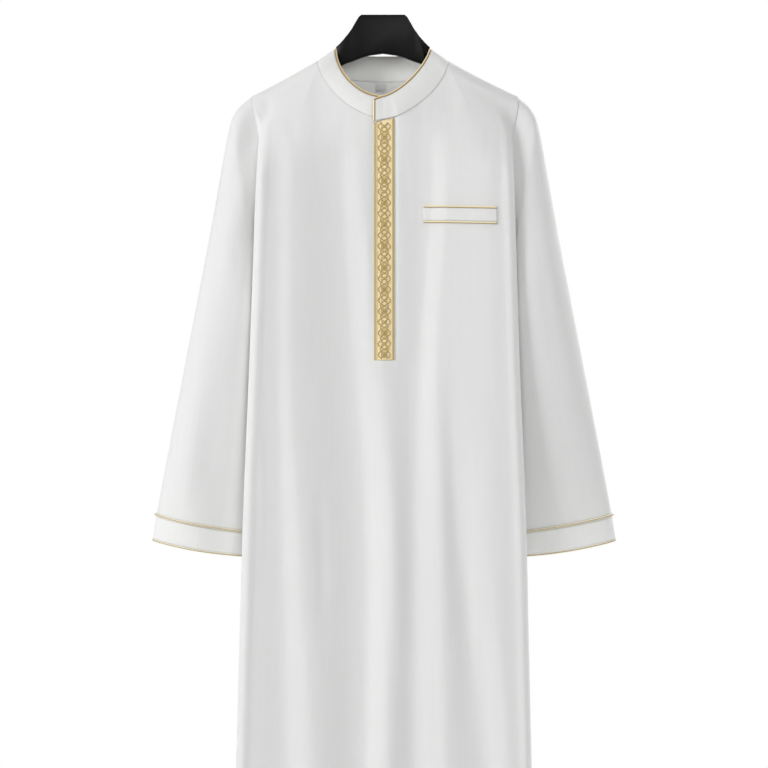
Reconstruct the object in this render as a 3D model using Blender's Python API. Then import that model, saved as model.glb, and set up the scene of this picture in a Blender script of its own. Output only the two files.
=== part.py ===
"""A white thobe, a long robe with a stand collar and a front placket, hanging on a black hanger.

Metres, +Z up. The origin is the middle of the hanger's flat top and the front faces -Y.
Every cloth piece is a thin wall through a grid of points, row by row from the top.
"""

import math
from collections import namedtuple

import bmesh
import bpy
import numpy as np
from mathutils import Vector
from mathutils.bvhtree import BVHTree

# Driving sizes
ROBE_LENGTH = 1.400
CLOTH = 0.0016
DOUBLED_CLOTH = 0.0020
GAP = 0.0003
PIPING_RADIUS = 0.0016

# Neck and shoulders: the neck point is where the shoulder seam meets the collar
NECK_X, NECK_Z = 0.0987, -0.0696
FRONT_NECK_DROP, FRONT_NECK_POWER = 0.0915, 1.60
BACK_NECK_DROP, BACK_NECK_POWER = 0.0279, 2.5
SHOULDER_END_X, SHOULDER_END_Z = 0.200, -0.1228
SHOULDER_SAG = 0.0013
UNDERARM_Z = -0.375
HEM_Z = NECK_Z - ROBE_LENGTH
ARMHOLE_REACH = 0.036

# The cloth turns over the hanger's arm with this radius, drifts out to the body's full depth over
# this drop, and has the body's own width from this far below the shoulder; above the chest's
# height the body keeps the chest's outline
ARM_RADIUS = 0.021
DRIFT = 0.150
LIFT_RUN = 0.090
CHEST_Z = -0.190

# Grid of the body: columns on each half and rows above and below the underarm
NECK_COLUMNS, SHOULDER_COLUMNS = 9, 10
BACK_NECK_COLUMNS, BACK_SHOULDER_COLUMNS = 8, 9
COLUMNS = {"front": NECK_COLUMNS + SHOULDER_COLUMNS, "back": BACK_NECK_COLUMNS + BACK_SHOULDER_COLUMNS}
BACK_SHOULDER_PER_NECK = BACK_SHOULDER_COLUMNS / BACK_NECK_COLUMNS
SHOULDER_PER_NECK = {"front": SHOULDER_COLUMNS / NECK_COLUMNS, "back": BACK_SHOULDER_PER_NECK}
ARMHOLE_ROWS = 12
SKIRT_ROWS = 15
ARMHOLE_SHARE = 0.40

# A level of the body's outline: half its width at the edge of the front, how far the front and
# the back stand from the middle, how far the side tucks in between them, how far the front sags
# back towards its middle and how far the sides lie to the right of where they would be
Level = namedtuple("Level", "z edge front back tuck sag lean")
LEVELS = (
    Level(-0.190, 0.1885, 0.058, 0.052, 0.000, 0.011, 0.0040),
    Level(-0.280, 0.1920, 0.062, 0.056, 0.004, 0.015, 0.0030),
    Level(-0.375, 0.1950, 0.064, 0.058, 0.010, 0.017, 0.0028),
    Level(-0.577, 0.2018, 0.069, 0.062, 0.028, 0.016, 0.0022),
    Level(-0.727, 0.2080, 0.072, 0.066, 0.036, 0.012, 0.0022),
    Level(-0.900, 0.2125, 0.076, 0.070, 0.045, 0.009, 0.0020),
    Level(-1.125, 0.2180, 0.080, 0.077, 0.058, 0.007, 0.0015),
    Level(HEM_Z, 0.2290, 0.088, 0.088, 0.075, 0.005, 0.0010),
)
BACK_SAG = 0.2

# A crest or trough that runs down a panel, in millimetres: how far to the right of the middle it
# lies and how high it stands, from the chest and the waist to the hip, the knee and the hem
FOLD_LEVELS = (-0.270, -0.570, -0.720, -1.125, HEM_Z)
Fold = namedtuple("Fold", "x_chest x_waist x_hip x_knee x_hem h_chest h_waist h_hip h_knee h_hem")
FRONT_FOLDS = (
    Fold(-158, -158, -156, -148, -146, -2, -3, -5, -9, -13),
    Fold(-137, -136, -126, -104, -98, 0, 1, 2, 3, 5),
    Fold(-64, -44, -32, -30, -31, -7, -11, -14, -16, -18),
    Fold(-30, 2, 12, 6, 4, 0, 2, 4, 4, 5),
    Fold(68, 50, 48, 48, 50, -7, -8, -7, -10, -13),
    Fold(96, 80, 84, 91, 97, 1, 3, 3, 4, 5),
    Fold(118, 102, 106, 148, 158, 1, 1, -4, -10, -14),
    Fold(152, 152, 154, 186, 192, 2, 2, 2, 2, 2),
)
BACK_FOLDS = (
    Fold(-150, -150, -152, -155, -160, -3, -5, -6, -9, -12),
    Fold(-110, -112, -112, -108, -105, 1, 2, 3, 4, 6),
    Fold(-62, -66, -68, -66, -62, -4, -8, -10, -13, -16),
    Fold(-15, -14, -14, -16, -15, 1, 2, 3, 3, 5),
    Fold(38, 36, 36, 34, 36, -5, -9, -11, -12, -15),
    Fold(82, 80, 80, 80, 82, 1, 2, 3, 4, 5),
    Fold(126, 124, 124, 122, 125, -4, -6, -8, -10, -13),
    Fold(158, 160, 162, 165, 170, 0, 1, 1, 2, 3),
)

# A cross-section of the sleeve, by its outer and inner ends and half its depth front to back
Ring = namedtuple("Ring", "out_x out_z in_x in_z depth")
SLEEVE = (
    Ring(SHOULDER_END_X, SHOULDER_END_Z, 0.1780, UNDERARM_Z, ARMHOLE_REACH),
    Ring(0.2204, -0.1430, 0.1860, -0.3790, 0.042),
    Ring(0.2325, -0.1740, 0.1895, -0.3920, 0.046),
    Ring(0.2500, -0.2700, 0.1910, -0.4230, 0.050),
    Ring(0.2650, -0.3525, 0.1915, -0.4550, 0.051),
    Ring(0.2940, -0.5025, 0.1940, -0.5520, 0.046),
    Ring(0.3230, -0.6525, 0.1965, -0.6760, 0.035),
    Ring(0.3410, -0.7470, 0.1985, -0.7720, 0.027),
    Ring(0.3468, -0.7860, 0.2005, -0.8110, 0.026),
)
SLEEVE_RINGS = 16
CUFF_RINGS = 2
# The section's flatness in front and behind, at its outer and inner half, and its inward swell
SLEEVE_OUTER_POWER, SLEEVE_INNER_POWER, SLEEVE_SWELL = 0.56, 0.58, 0.10
SLEEVE_LEAN = 0.0020
CUFF_SAG = 0.0035
SLEEVE_SIDES = 2 * ARMHOLE_ROWS

# A soft crease along a sleeve: its place round the sleeve in turns from the outer edge to the
# front, its width in turns, its height in millimetres and where along the sleeve it runs
Crease = namedtuple("Crease", "turn width height start end")
LEFT_SLEEVE_CREASES = (
    Crease(0.20, 0.09, 3.0, 0.16, 0.60),
    Crease(0.42, 0.09, 6.0, 0.06, 0.96),
    Crease(0.24, 0.08, -2.5, 0.60, 1.00),
    Crease(0.70, 0.10, -3.5, 0.15, 0.90),
)
RIGHT_SLEEVE_CREASES = (
    Crease(0.42, 0.09, 6.0, 0.06, 0.96),
    Crease(0.15, 0.09, 2.5, 0.20, 0.80),
    Crease(0.72, 0.10, -3.5, 0.15, 0.90),
)

# Collar: the top edge follows the neckline further in and higher up
COLLAR_TOP_X, COLLAR_TOP_Z = 0.0726, -0.0515
COLLAR_FRONT_Y, COLLAR_FRONT_DROP = 0.041, 0.0770
COLLAR_LEFT_POWER, COLLAR_RIGHT_POWER = 1.85, 1.42
COLLAR_BACK_Y, COLLAR_BACK_DROP = 0.036, 0.0060
COLLAR_LAP = 0.0034
LAP_TOP_END, LAP_FOOT_END = (-0.0113, -0.0038, -0.0045), (-0.0113, -0.0014, -0.0033)
COLLAR_ROWS = 3

# Placket, pocket welt and label, placed by their edges on the panels
PLACKET_LEFT, PLACKET_RIGHT = -0.0130, 0.0165
PLACKET_LEFT_TOP, PLACKET_RIGHT_TOP, PLACKET_FOOT = -0.1664, -0.1592, -0.5183
PLACKET_THICKNESS = 0.0020
WELT_LEFT, WELT_RIGHT = 0.0600, 0.1680
WELT_LEFT_Z, WELT_RIGHT_Z = -0.3014, -0.3045
WELT_HEIGHT = 0.0190
WELT_THICKNESS = 0.0016
LABEL_X, LABEL_WIDTH, LABEL_HEIGHT, LABEL_THICKNESS = -0.0035, 0.0150, 0.0110, 0.0010

# Hanger: outline of the top and of the underside, half its depth and the radius of its corners,
# out from the middle
Station = namedtuple("Station", "x top under depth corner")
HANGER = (
    Station(0.0000, 0.0000, -0.0580, 0.0070, 0.0035),
    Station(0.0200, 0.0000, -0.0608, 0.0070, 0.0035),
    Station(0.0325, 0.0000, -0.0645, 0.0070, 0.0035),
    Station(0.0362, -0.0030, -0.0660, 0.0070, 0.0035),
    Station(0.0400, -0.0090, -0.0675, 0.0070, 0.0035),
    Station(0.0465, -0.0205, -0.0700, 0.0070, 0.0035),
    Station(0.0545, -0.0318, -0.0725, 0.0068, 0.0035),
    Station(0.0625, -0.0420, -0.0765, 0.0055, 0.0035),
    Station(0.0668, -0.0463, -0.0795, 0.0048, 0.0032),
    Station(0.0678, -0.0560, -0.0815, 0.0045, 0.0030),
    Station(0.0712, -0.0612, -0.0835, 0.0045, 0.0030),
    Station(0.0850, -0.0710, -0.0915, 0.0054, 0.0035),
    Station(0.0987, -0.0782, -0.1000, 0.0066, 0.0045),
    Station(0.1120, -0.0838, -0.1070, 0.0088, 0.0060),
    Station(0.1250, -0.0893, -0.1140, 0.0110, 0.0085),
    Station(0.1560, -0.1056, -0.1300, 0.0132, 0.0110),
    Station(0.1780, -0.1172, -0.1390, 0.0130, 0.0098),
    Station(0.1860, -0.1225, -0.1420, 0.0108, 0.0083),
    Station(0.1900, -0.1280, -0.1415, 0.0075, 0.0052),
)
CORNER_POINTS = 4

WHITE = (0.86, 0.86, 0.85, 1.0)
GOLD = (0.55, 0.40, 0.16, 1.0)
PALE_GOLD = (0.80, 0.70, 0.45, 1.0)
BLACK = (0.012, 0.012, 0.013, 1.0)


def clear_scene():
    for thing in list(bpy.data.objects):
        bpy.data.objects.remove(thing)


def material(name, colour, roughness, metallic=0.0):
    made = bpy.data.materials.new(name)
    made.use_nodes = True
    shader = made.node_tree.nodes["Principled BSDF"]
    shader.inputs["Base Color"].default_value = colour
    shader.inputs["Roughness"].default_value = roughness
    shader.inputs["Metallic"].default_value = metallic
    return made


def ease(t):
    t = np.clip(t, 0.0, 1.0)
    return t * t * (3.0 - 2.0 * t)


def bump(t):
    """One at t = 0, easing to nothing at t = -1 and t = 1."""
    return 1.0 - ease(np.abs(t))


def unit(vectors):
    return vectors / np.linalg.norm(vectors, axis=-1, keepdims=True)


def through(knots, values, at):
    """Reads a smooth curve through the values at the rising knots."""
    knots = np.asarray(knots, float)
    values = np.asarray(values, float).reshape(len(knots), -1)
    at = np.clip(np.asarray(at, float), knots[0], knots[-1])
    steps = np.diff(knots)[:, None]
    slopes = np.diff(values, axis=0) / steps
    inner = (slopes[1:] * steps[:-1] + slopes[:-1] * steps[1:]) / (steps[1:] + steps[:-1])
    tangents = np.vstack([slopes[:1], inner, slopes[-1:]])
    i = np.clip(np.searchsorted(knots, at, side="right") - 1, 0, len(knots) - 2)
    h = steps[i, 0][:, None]
    t = ((at - knots[i]) / steps[i, 0])[:, None]
    from_start = values[i] * (1 + 2 * t) * (1 - t) ** 2 + tangents[i] * h * t * (1 - t) ** 2
    from_end = values[i + 1] * t * t * (3 - 2 * t) - tangents[i + 1] * h * t * t * (1 - t)
    return from_start + from_end


def levels_at(z):
    """Half width, front depth, back depth, tuck, sag and lean of the body at an array of heights."""
    rows = sorted(LEVELS)
    return through([r.z for r in rows], [r[1:] for r in rows], z).T


def armhole_depth(z):
    """How far the armhole's edge stands from the middle of the side at a height."""
    share = np.clip((z - UNDERARM_Z) / (SHOULDER_END_Z - UNDERARM_Z), 0.0, 1.0)
    return ARMHOLE_REACH * (4.0 * share * (1.0 - share)) ** 0.38


def half_section(z, face):
    """The body's outline at one height, from the middle of a face to the side seam or armhole."""
    edge, front, back, tuck, sag, _ = (values[0] for values in levels_at([z]))
    depth, hollow = (front, sag) if face == "front" else (back, BACK_SAG * sag)
    shape = np.array([
        (-0.50 * edge, depth - 0.62 * hollow),
        (0.0, depth - hollow),
        (0.50 * edge, depth - 0.62 * hollow),
        (0.80 * edge, depth - 0.18 * hollow - 0.0005),
        (edge - 0.021, depth - 0.0022),
        (edge - 0.008, depth - 0.0002),
        (edge - 0.0018, depth - 0.005),
        (edge, depth - 0.012),
        (edge - 0.0015, depth - 0.019),
        (edge - 0.004 - 0.30 * tuck, 0.48 * depth),
        (edge - 0.006 - 0.84 * tuck, 0.18 * depth),
        (edge - 0.006 - tuck, 0.5 * GAP),
    ])
    lengths = np.concatenate([[0.0], np.cumsum(np.linalg.norm(np.diff(shape, axis=0), axis=1))])
    curve = through(lengths, shape, np.linspace(lengths[1], lengths[-1], 200))
    cut = float(armhole_depth(z)) if z > UNDERARM_Z else 0.5 * GAP
    last = len(curve) - 1
    while last > 1 and curve[last - 1, 1] < cut:
        last -= 1
    kept = curve[:last + 1].copy()
    if curve[last, 1] < cut < curve[last - 1, 1]:
        share = (curve[last - 1, 1] - cut) / (curve[last - 1, 1] - curve[last, 1])
        kept[last] = curve[last - 1] + share * (curve[last] - curve[last - 1])
    steps = np.linalg.norm(np.diff(kept, axis=0), axis=1)
    closer = 1.0 + 1.5 * ease(1.0 - np.abs(kept[1:, 0] + kept[1:, 1] - edge - depth + 0.007) / 0.03)
    along = np.concatenate([[0.0], np.cumsum(steps * closer)])
    want = np.linspace(0.0, along[-1], SECTION_POINTS)
    return np.column_stack([np.interp(want, along, kept[:, 0]), np.interp(want, along, kept[:, 1])])


SECTION_POINTS = 121
SECTION_HEIGHTS = np.linspace(HEM_Z, CHEST_Z, 240)
SECTIONS = {
    face: np.array([half_section(z, face) for z in SECTION_HEIGHTS]) for face in ("front", "back")
}


def on_section(u, z, face):
    """Points of the body at shares u of the way from the middle to the panel's edge."""
    table = SECTIONS[face]
    row = np.interp(z, SECTION_HEIGHTS, np.arange(len(SECTION_HEIGHTS)))
    place = np.abs(u) * (SECTION_POINTS - 1)
    i = np.clip(row.astype(int), 0, len(SECTION_HEIGHTS) - 2)
    j = np.clip(place.astype(int), 0, SECTION_POINTS - 2)
    a, b = (row - i)[:, None], (place - j)[:, None]
    point = (
        (1 - a) * (1 - b) * table[i, j] + (1 - a) * b * table[i, j + 1]
        + a * (1 - b) * table[i + 1, j] + a * b * table[i + 1, j + 1]
    )
    outward = -1.0 if face == "front" else 1.0
    return np.column_stack([np.copysign(point[:, 0], u), outward * point[:, 1], z])


def neck_shape(angle, x, z, drop, power):
    """Place across and height on a neck curve: angle 0 is its middle, a quarter turn its side."""
    across = np.abs(np.sin(angle)) ** (2.0 / power)
    down = np.abs(np.cos(angle)) ** (2.0 / power)
    return np.copysign(x * across, angle), z - drop * down


def neckline(angle, face):
    """A point of the neckline, which lies on the panel's surface."""
    share = 1.0 / (1.0 + SHOULDER_PER_NECK[face])
    u = np.array([share * angle / (0.5 * math.pi)])
    return panel_points(u, np.zeros(1), face)[0]


def collar_top(angle, face):
    """A point of the collar's top edge."""
    if face == "front":
        depth, drop = -COLLAR_FRONT_Y, COLLAR_FRONT_DROP
        power = COLLAR_LEFT_POWER if angle < 0.0 else COLLAR_RIGHT_POWER
    else:
        depth, drop, power = COLLAR_BACK_Y, COLLAR_BACK_DROP, BACK_NECK_POWER
    x, z = neck_shape(angle, COLLAR_TOP_X, COLLAR_TOP_Z, drop, power)
    forward = max(0.0, 1.0 - (x / COLLAR_TOP_X) ** 2) ** 0.4
    return np.array([x, depth * forward, z])


def shoulder_height(x):
    """Height of the shoulder's line, straight on above the neck."""
    out = (np.abs(x) - NECK_X) / (SHOULDER_END_X - NECK_X)
    sag = SHOULDER_SAG * np.sin(math.pi * np.clip(out, 0.0, 1.0))
    return NECK_Z + out * (SHOULDER_END_Z - NECK_Z) - sag


def top_of_panel(u, face):
    """Place across and height of the panel's top edge: neckline in the middle, shoulder beside it."""
    share = 1.0 / (1.0 + SHOULDER_PER_NECK[face])
    angle = 0.5 * math.pi * np.clip(u / share, -1.0, 1.0)
    if face == "front":
        neck_x, neck_z = neck_shape(angle, NECK_X, NECK_Z, FRONT_NECK_DROP, FRONT_NECK_POWER)
    else:
        neck_x, neck_z = neck_shape(angle, NECK_X, NECK_Z, BACK_NECK_DROP, BACK_NECK_POWER)
    out = np.clip((np.abs(u) - share) / (1.0 - share), 0.0, 1.0)
    x = np.copysign(NECK_X + out * (SHOULDER_END_X - NECK_X), u)
    at_neck = np.abs(u) < share - 1e-9
    return np.where(at_neck, neck_x, x), np.where(at_neck, neck_z, shoulder_height(x))


def share_of_depth(drop, depth):
    """How much of its depth the cloth has, a drop below the shoulder: round the hanger, then on."""
    round_over = np.clip(drop / ARM_RADIUS, 0.0, 1.0)
    quarter = np.sqrt(1.0 - (1.0 - round_over) ** 2)
    share = np.minimum(1.0, ARM_RADIUS / np.maximum(np.abs(depth), 1e-6))
    return share * quarter + (1.0 - share) * ease(drop / DRIFT)


def fold_heights(x, z, folds):
    """Heights in metres of the folds at places on a panel, smooth from crest to trough to crest."""
    rows = FOLD_LEVELS[::-1]
    edge = levels_at(z)[0] - 0.012
    keys = [(-edge, np.zeros_like(z))]
    for fold in folds:
        at = through(rows, np.column_stack([fold[:5][::-1], fold[5:][::-1]]), z) / 1000.0
        keys.append((at[:, 0], at[:, 1]))
    keys.append((edge, np.zeros_like(z)))
    total = np.zeros_like(x)
    for (x0, h0), (x1, h1) in zip(keys, keys[1:]):
        inside = (x >= x0) & (x < x1)
        total = np.where(inside, h0 + ease((x - x0) / (x1 - x0)) * (h1 - h0), total)
    return total * ease((-0.140 - z) / 0.11)


def panel_points(u, v, face):
    """Points of the front or back panel; u runs from side to side and v from the top to the hem."""
    folds = FRONT_FOLDS if face == "front" else BACK_FOLDS
    outward = -1.0 if face == "front" else 1.0
    top_x, top_z = top_of_panel(u, face)
    upper = (1.0 - np.cos(math.pi * np.clip(v / ARMHOLE_SHARE, 0.0, 1.0))) / 2.0
    lower = np.clip((v - ARMHOLE_SHARE) / (1.0 - ARMHOLE_SHARE), 0.0, 1.0)
    z = top_z + upper * (UNDERARM_Z - top_z) + lower * (HEM_Z - UNDERARM_Z)
    point = on_section(u, np.minimum(z, CHEST_Z), face)
    lift = top_x - on_section(u, np.minimum(top_z, CHEST_Z), face)[:, 0]
    point[:, 0] += lift * (1.0 - ease((top_z - z) / LIFT_RUN))
    point[:, 2] = z
    _, front, back, _, _, lean = levels_at(z)
    depth = front if face == "front" else back
    on_the_face = ease((np.abs(point[:, 1]) / depth - 0.45) / 0.35)
    point[:, 1] *= share_of_depth(shoulder_height(top_x) - z, point[:, 1])
    point[:, 1] = outward * np.maximum(outward * point[:, 1], 0.5 * GAP)
    point[:, 1] += outward * on_the_face * fold_heights(point[:, 0], z, folds)
    point[:, 0] += lean * ease((np.abs(point[:, 0]) - 0.04) / 0.12) * ease((-0.065 - z) / 0.09)
    return point


def body_grid(face):
    """Outer points of the front or back panel: rows from the top, columns from left to right."""
    half = COLUMNS[face]
    across = np.arange(-half, half + 1) / half
    upper = [ARMHOLE_SHARE * k / ARMHOLE_ROWS for k in range(ARMHOLE_ROWS + 1)]
    skirt = [ARMHOLE_SHARE + (1.0 - ARMHOLE_SHARE) * k / SKIRT_ROWS for k in range(1, SKIRT_ROWS + 1)]
    return np.array([panel_points(across, np.full(len(across), v), face) for v in upper + skirt])


def grid_normals(points, around=False):
    """Unit normals of a grid of points: the way across crossed with the way down."""
    down = np.gradient(points, axis=0)
    if around:
        wrapped = np.concatenate([points[:, -1:], points, points[:, :1]], axis=1)
        across = (wrapped[:, 2:] - wrapped[:, :-2]) * 0.5
    else:
        across = np.gradient(points, axis=1)
    return unit(np.cross(across, down))


def armhole_ring(front, back, side):
    """The armhole's points from the shoulder down the front and up the back."""
    column = -1 if side > 0 else 0
    down = front[:ARMHOLE_ROWS + 1, column]
    up = back[1:ARMHOLE_ROWS, column][::-1]
    ring = np.concatenate([down, up])
    ring[0, 1] = ring[ARMHOLE_ROWS, 1] = 0.0
    return ring


def sleeve_ring(place, side, creases):
    """One cross-section of the sleeve; place runs from 0 at the armhole to 1 at the cuff's edge."""
    knots = np.linspace(0.0, 1.0, len(SLEEVE))
    out_x, out_z, in_x, in_z, depth = through(knots, SLEEVE, [place])[0]
    outer = np.array([side * out_x + SLEEVE_LEAN, 0.0, out_z])
    inner = np.array([side * in_x + SLEEVE_LEAN, 0.0, in_z])
    middle, reach = (outer + inner) / 2, (outer - inner) / 2
    points = []
    for j in range(SLEEVE_SIDES):
        turn = j / SLEEVE_SIDES
        angle = 2.0 * math.pi * turn
        height = 0.0
        for crease in creases:
            round_it = bump((turn - crease.turn) / crease.width)
            run = (place - crease.start) / (crease.end - crease.start)
            height += crease.height / 1000.0 * round_it * bump(2.0 * run - 1.0)
        swell = 1.0 + height / max(depth, 0.02)
        power = SLEEVE_OUTER_POWER if math.cos(angle) > 0.0 else SLEEVE_INNER_POWER
        boxy = math.copysign(abs(math.sin(angle)) ** power, math.sin(angle))
        swell *= 1.0 - SLEEVE_SWELL * math.cos(angle)
        drop = CUFF_SAG * math.sin(angle) ** 2 * float(ease((place - 0.75) / 0.2))
        forward = np.array([0.0, -depth * boxy * swell, -drop])
        points.append(middle + reach * math.cos(angle) + forward)
    return np.array(points)


def sleeve_places(first, last, count):
    return [first + (last - first) * k / count for k in range(count + 1)]


def sleeve_grid(ring, side, creases):
    """Outer points of a sleeve, ring by ring from the armhole to the cuff's top edge."""
    cuff_start = (len(SLEEVE) - 2) / (len(SLEEVE) - 1)
    rows = []
    first = sleeve_ring(0.0, side, creases)
    for place in sleeve_places(0.0, cuff_start, SLEEVE_RINGS):
        fade = 1.0 - float(ease(place / 0.22))
        rows.append(sleeve_ring(place, side, creases) + (ring - first) * fade)
    rows = np.array(rows)
    rows[0] += 1.7 * GAP * unit(rows[1] - rows[0])
    return rows


def cuff_grid(side, creases):
    cuff_start = (len(SLEEVE) - 2) / (len(SLEEVE) - 1)
    rows = [sleeve_ring(place, side, creases) for place in sleeve_places(cuff_start, 1.0, CUFF_RINGS)]
    rows = np.array(rows)
    rows[0] += GAP * unit(rows[1] - rows[0])
    return rows


def collar_angles():
    """Angle and face of each collar column, from the end below the lap round to the lap's own end."""
    front = [0.5 * math.pi * k / NECK_COLUMNS for k in range(NECK_COLUMNS + 1)]
    back = [0.5 * math.pi * k / BACK_NECK_COLUMNS for k in range(BACK_NECK_COLUMNS + 1)]
    columns = [(0.5 * front[1], "front")]
    columns += [(-angle, "front") for angle in front]
    columns += [(-angle, "back") for angle in back[-2:0:-1]]
    columns += [(angle, "back") for angle in back[:-1]]
    columns += [(angle, "front") for angle in front[::-1]]
    return columns


def neckline_between_columns(angle, face):
    """A point of the neckline as the panel has it, straight from column to column."""
    step = 0.5 * math.pi / (NECK_COLUMNS if face == "front" else BACK_NECK_COLUMNS)
    before = math.floor(angle / step + 1e-9)
    share = angle / step - before
    first, second = neckline(before * step, face), neckline((before + 1) * step, face)
    return first + share * (second - first)


def collar_grid():
    """Outer points of the stand collar, rows from its top edge down to the neckline."""
    top = [collar_top(angle, face) for angle, face in collar_angles()]
    foot = [neckline_between_columns(angle, face) for angle, face in collar_angles()]
    top.append(top[-1] + np.array(LAP_TOP_END))
    foot.append(foot[-1] + np.array(LAP_FOOT_END))
    top, foot = np.array(top), np.array(foot)
    foot += 1.6 * GAP * unit(top - foot)
    rows = []
    for row in range(COLLAR_ROWS + 1):
        share = row / COLLAR_ROWS
        points = top + share * (foot - top)
        points[:, 1] += np.copysign(0.0015, foot[:, 1]) * math.sin(math.pi * share)
        rows.append(points)
    rows = np.array(rows)
    for back_from_end, lift in enumerate((1.0, 1.0, 0.55, 0.15)):
        rows[:, -1 - back_from_end, 1] -= COLLAR_LAP * lift
    return rows


def wall_object(name, outer, inward, finish, around=False):
    """A closed wall between a grid of outer points and the same points moved inwards."""
    rows, columns = outer.shape[:2]
    mesh = bmesh.new()
    outside = [[mesh.verts.new(point) for point in row] for row in outer]
    inside = [[mesh.verts.new(point) for point in row] for row in outer + inward]
    last = columns if around else columns - 1

    def strip(a, b, c, d):
        mesh.faces.new((a, b, c))
        mesh.faces.new((a, c, d))

    for i in range(rows - 1):
        for j in range(last):
            k = (j + 1) % columns
            strip(outside[i][j], outside[i + 1][j], outside[i + 1][k], outside[i][k])
            strip(inside[i][j], inside[i][k], inside[i + 1][k], inside[i + 1][j])
    for j in range(last):
        k = (j + 1) % columns
        strip(outside[0][j], outside[0][k], inside[0][k], inside[0][j])
        strip(outside[-1][k], outside[-1][j], inside[-1][j], inside[-1][k])
    if not around:
        for i in range(rows - 1):
            strip(outside[i + 1][0], outside[i][0], inside[i][0], inside[i + 1][0])
            strip(outside[i][-1], outside[i + 1][-1], inside[i + 1][-1], inside[i][-1])
    bmesh.ops.recalc_face_normals(mesh, faces=mesh.faces)
    return mesh_object(name, mesh, finish)


def mesh_object(name, mesh, finish):
    data = bpy.data.meshes.new(name)
    mesh.to_mesh(data)
    mesh.free()
    data.materials.append(finish)
    data.shade_smooth()
    data.set_sharp_from_angle(angle=math.radians(50))
    made = bpy.data.objects.new(name, data)
    bpy.context.scene.collection.objects.link(made)
    return made


def piping_object(name, path, finish, closed=False):
    """A round piping of the robe's piping radius along a path of points."""
    curve = bpy.data.curves.new(name, "CURVE")
    curve.dimensions = "3D"
    curve.bevel_depth = PIPING_RADIUS
    curve.bevel_resolution = 1
    curve.use_fill_caps = not closed
    line = curve.splines.new("POLY")
    line.points.add(len(path) - 1)
    for point, place in zip(line.points, path):
        point.co = (*place, 1.0)
    line.use_cyclic_u = closed
    curve.materials.append(finish)
    made = bpy.data.objects.new(name, curve)
    bpy.context.scene.collection.objects.link(made)
    return made


def join_normals(first, second):
    """One direction for two walls that meet at a seam, so that their edges stay parallel."""
    return unit(first + second)


def build_body_and_sleeves(cloth):
    grids = {"front": body_grid("front"), "back": body_grid("back")}
    normals = {"front": -grid_normals(grids["front"]), "back": grid_normals(grids["back"])}
    collar = collar_grid()
    collar_out = grid_normals(collar)
    for face, neck_columns in (("front", NECK_COLUMNS), ("back", BACK_NECK_COLUMNS)):
        out = normals[face]
        half = out.shape[1] // 2
        shoulder = np.abs(np.arange(out.shape[1]) - half) >= neck_columns
        out[0, shoulder, 1] = 0.0
        out[0] = unit(out[0])
        for edge in (0, -1):
            out[ARMHOLE_ROWS + 1:, edge, 1] = 0.0
        normals[face] = unit(out)
    share_neck_normals(normals, collar_out)
    sleeves = {}
    for side, name, creases in ((1, "right", RIGHT_SLEEVE_CREASES), (-1, "left", LEFT_SLEEVE_CREASES)):
        ring = armhole_ring(grids["front"], grids["back"], side)
        sleeve = sleeve_grid(ring, side, creases)
        sleeve_out = grid_normals(sleeve, around=True) * side
        share_armhole_normals(normals, sleeve_out, side)
        sleeves[name] = (side, creases, sleeve, sleeve_out)
    for face in ("front", "back"):
        wall_object(face, grids[face], -CLOTH * normals[face], cloth)
    for name, (side, creases, sleeve, sleeve_out) in sleeves.items():
        cuff = cuff_grid(side, creases)
        cuff_out = grid_normals(cuff, around=True) * side
        cuff_out[0] = sleeve_out[-1] = join_normals(cuff_out[0], sleeve_out[-1])
        wall_object(f"sleeve_{name}", sleeve, -CLOTH * sleeve_out, cloth, around=True)
        wall_object(f"cuff_{name}", cuff, -DOUBLED_CLOTH * cuff_out, cloth, around=True)
        sleeves[name] = (cuff, cuff_out)
    wall_object("collar", collar, -DOUBLED_CLOTH * collar_out, cloth)
    return grids, collar, collar_out, sleeves


def share_neck_normals(normals, collar_out):
    """Gives the collar's foot and the neckline below it the same direction, point by point."""
    counts = {"front": NECK_COLUMNS, "back": BACK_NECK_COLUMNS}
    halves = {face: normals[face].shape[1] // 2 for face in normals}
    places = collar_angles()
    for place in range(1, len(places) - 1):
        angle, face = places[place]
        column = 2.0 * angle / math.pi * counts[face]
        row = normals[face][0]
        j = halves[face] + int(round(column))
        shared = join_normals(row[j], collar_out[-1, place])
        if abs(abs(angle) - 0.5 * math.pi) < 1e-6:
            shared[1] = 0.0
            shared = unit(shared)
            other = "back" if face == "front" else "front"
            step = int(math.copysign(counts[other], angle))
            normals[other][0, halves[other] + step] = shared
        row[j] = shared
        collar_out[-1, place] = shared
    middle = halves["front"]
    collar_out[-1, 0] = join_normals(normals["front"][0, middle], normals["front"][0, middle + 1])


def share_armhole_normals(normals, sleeve_out, side):
    """Gives the sleeve's first ring and the armhole's edge the same direction, point by point."""
    column = -1 if side > 0 else 0
    for j in range(SLEEVE_SIDES):
        front_side = j <= ARMHOLE_ROWS
        row = j if front_side else SLEEVE_SIDES - j
        edge = normals["front" if front_side else "back"]
        shared = join_normals(edge[row, column], sleeve_out[0, j])
        if row in (0, ARMHOLE_ROWS):
            shared[1] = 0.0
            shared = unit(shared)
            normals["front"][row, column] = normals["back"][row, column] = shared
        edge[row, column] = shared
        sleeve_out[0, j] = shared


def skin_of(grid):
    """The panel's outer faces, for placing pieces that lie on it."""
    rows, columns = grid.shape[:2]
    faces = []
    for i in range(rows - 1):
        for j in range(columns - 1):
            a, b = i * columns + j, (i + 1) * columns + j
            faces += [(a, b, b + 1), (a, b + 1, a + 1)]
    return BVHTree.FromPolygons([Vector(p) for p in grid.reshape(-1, 3)], faces)


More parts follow.
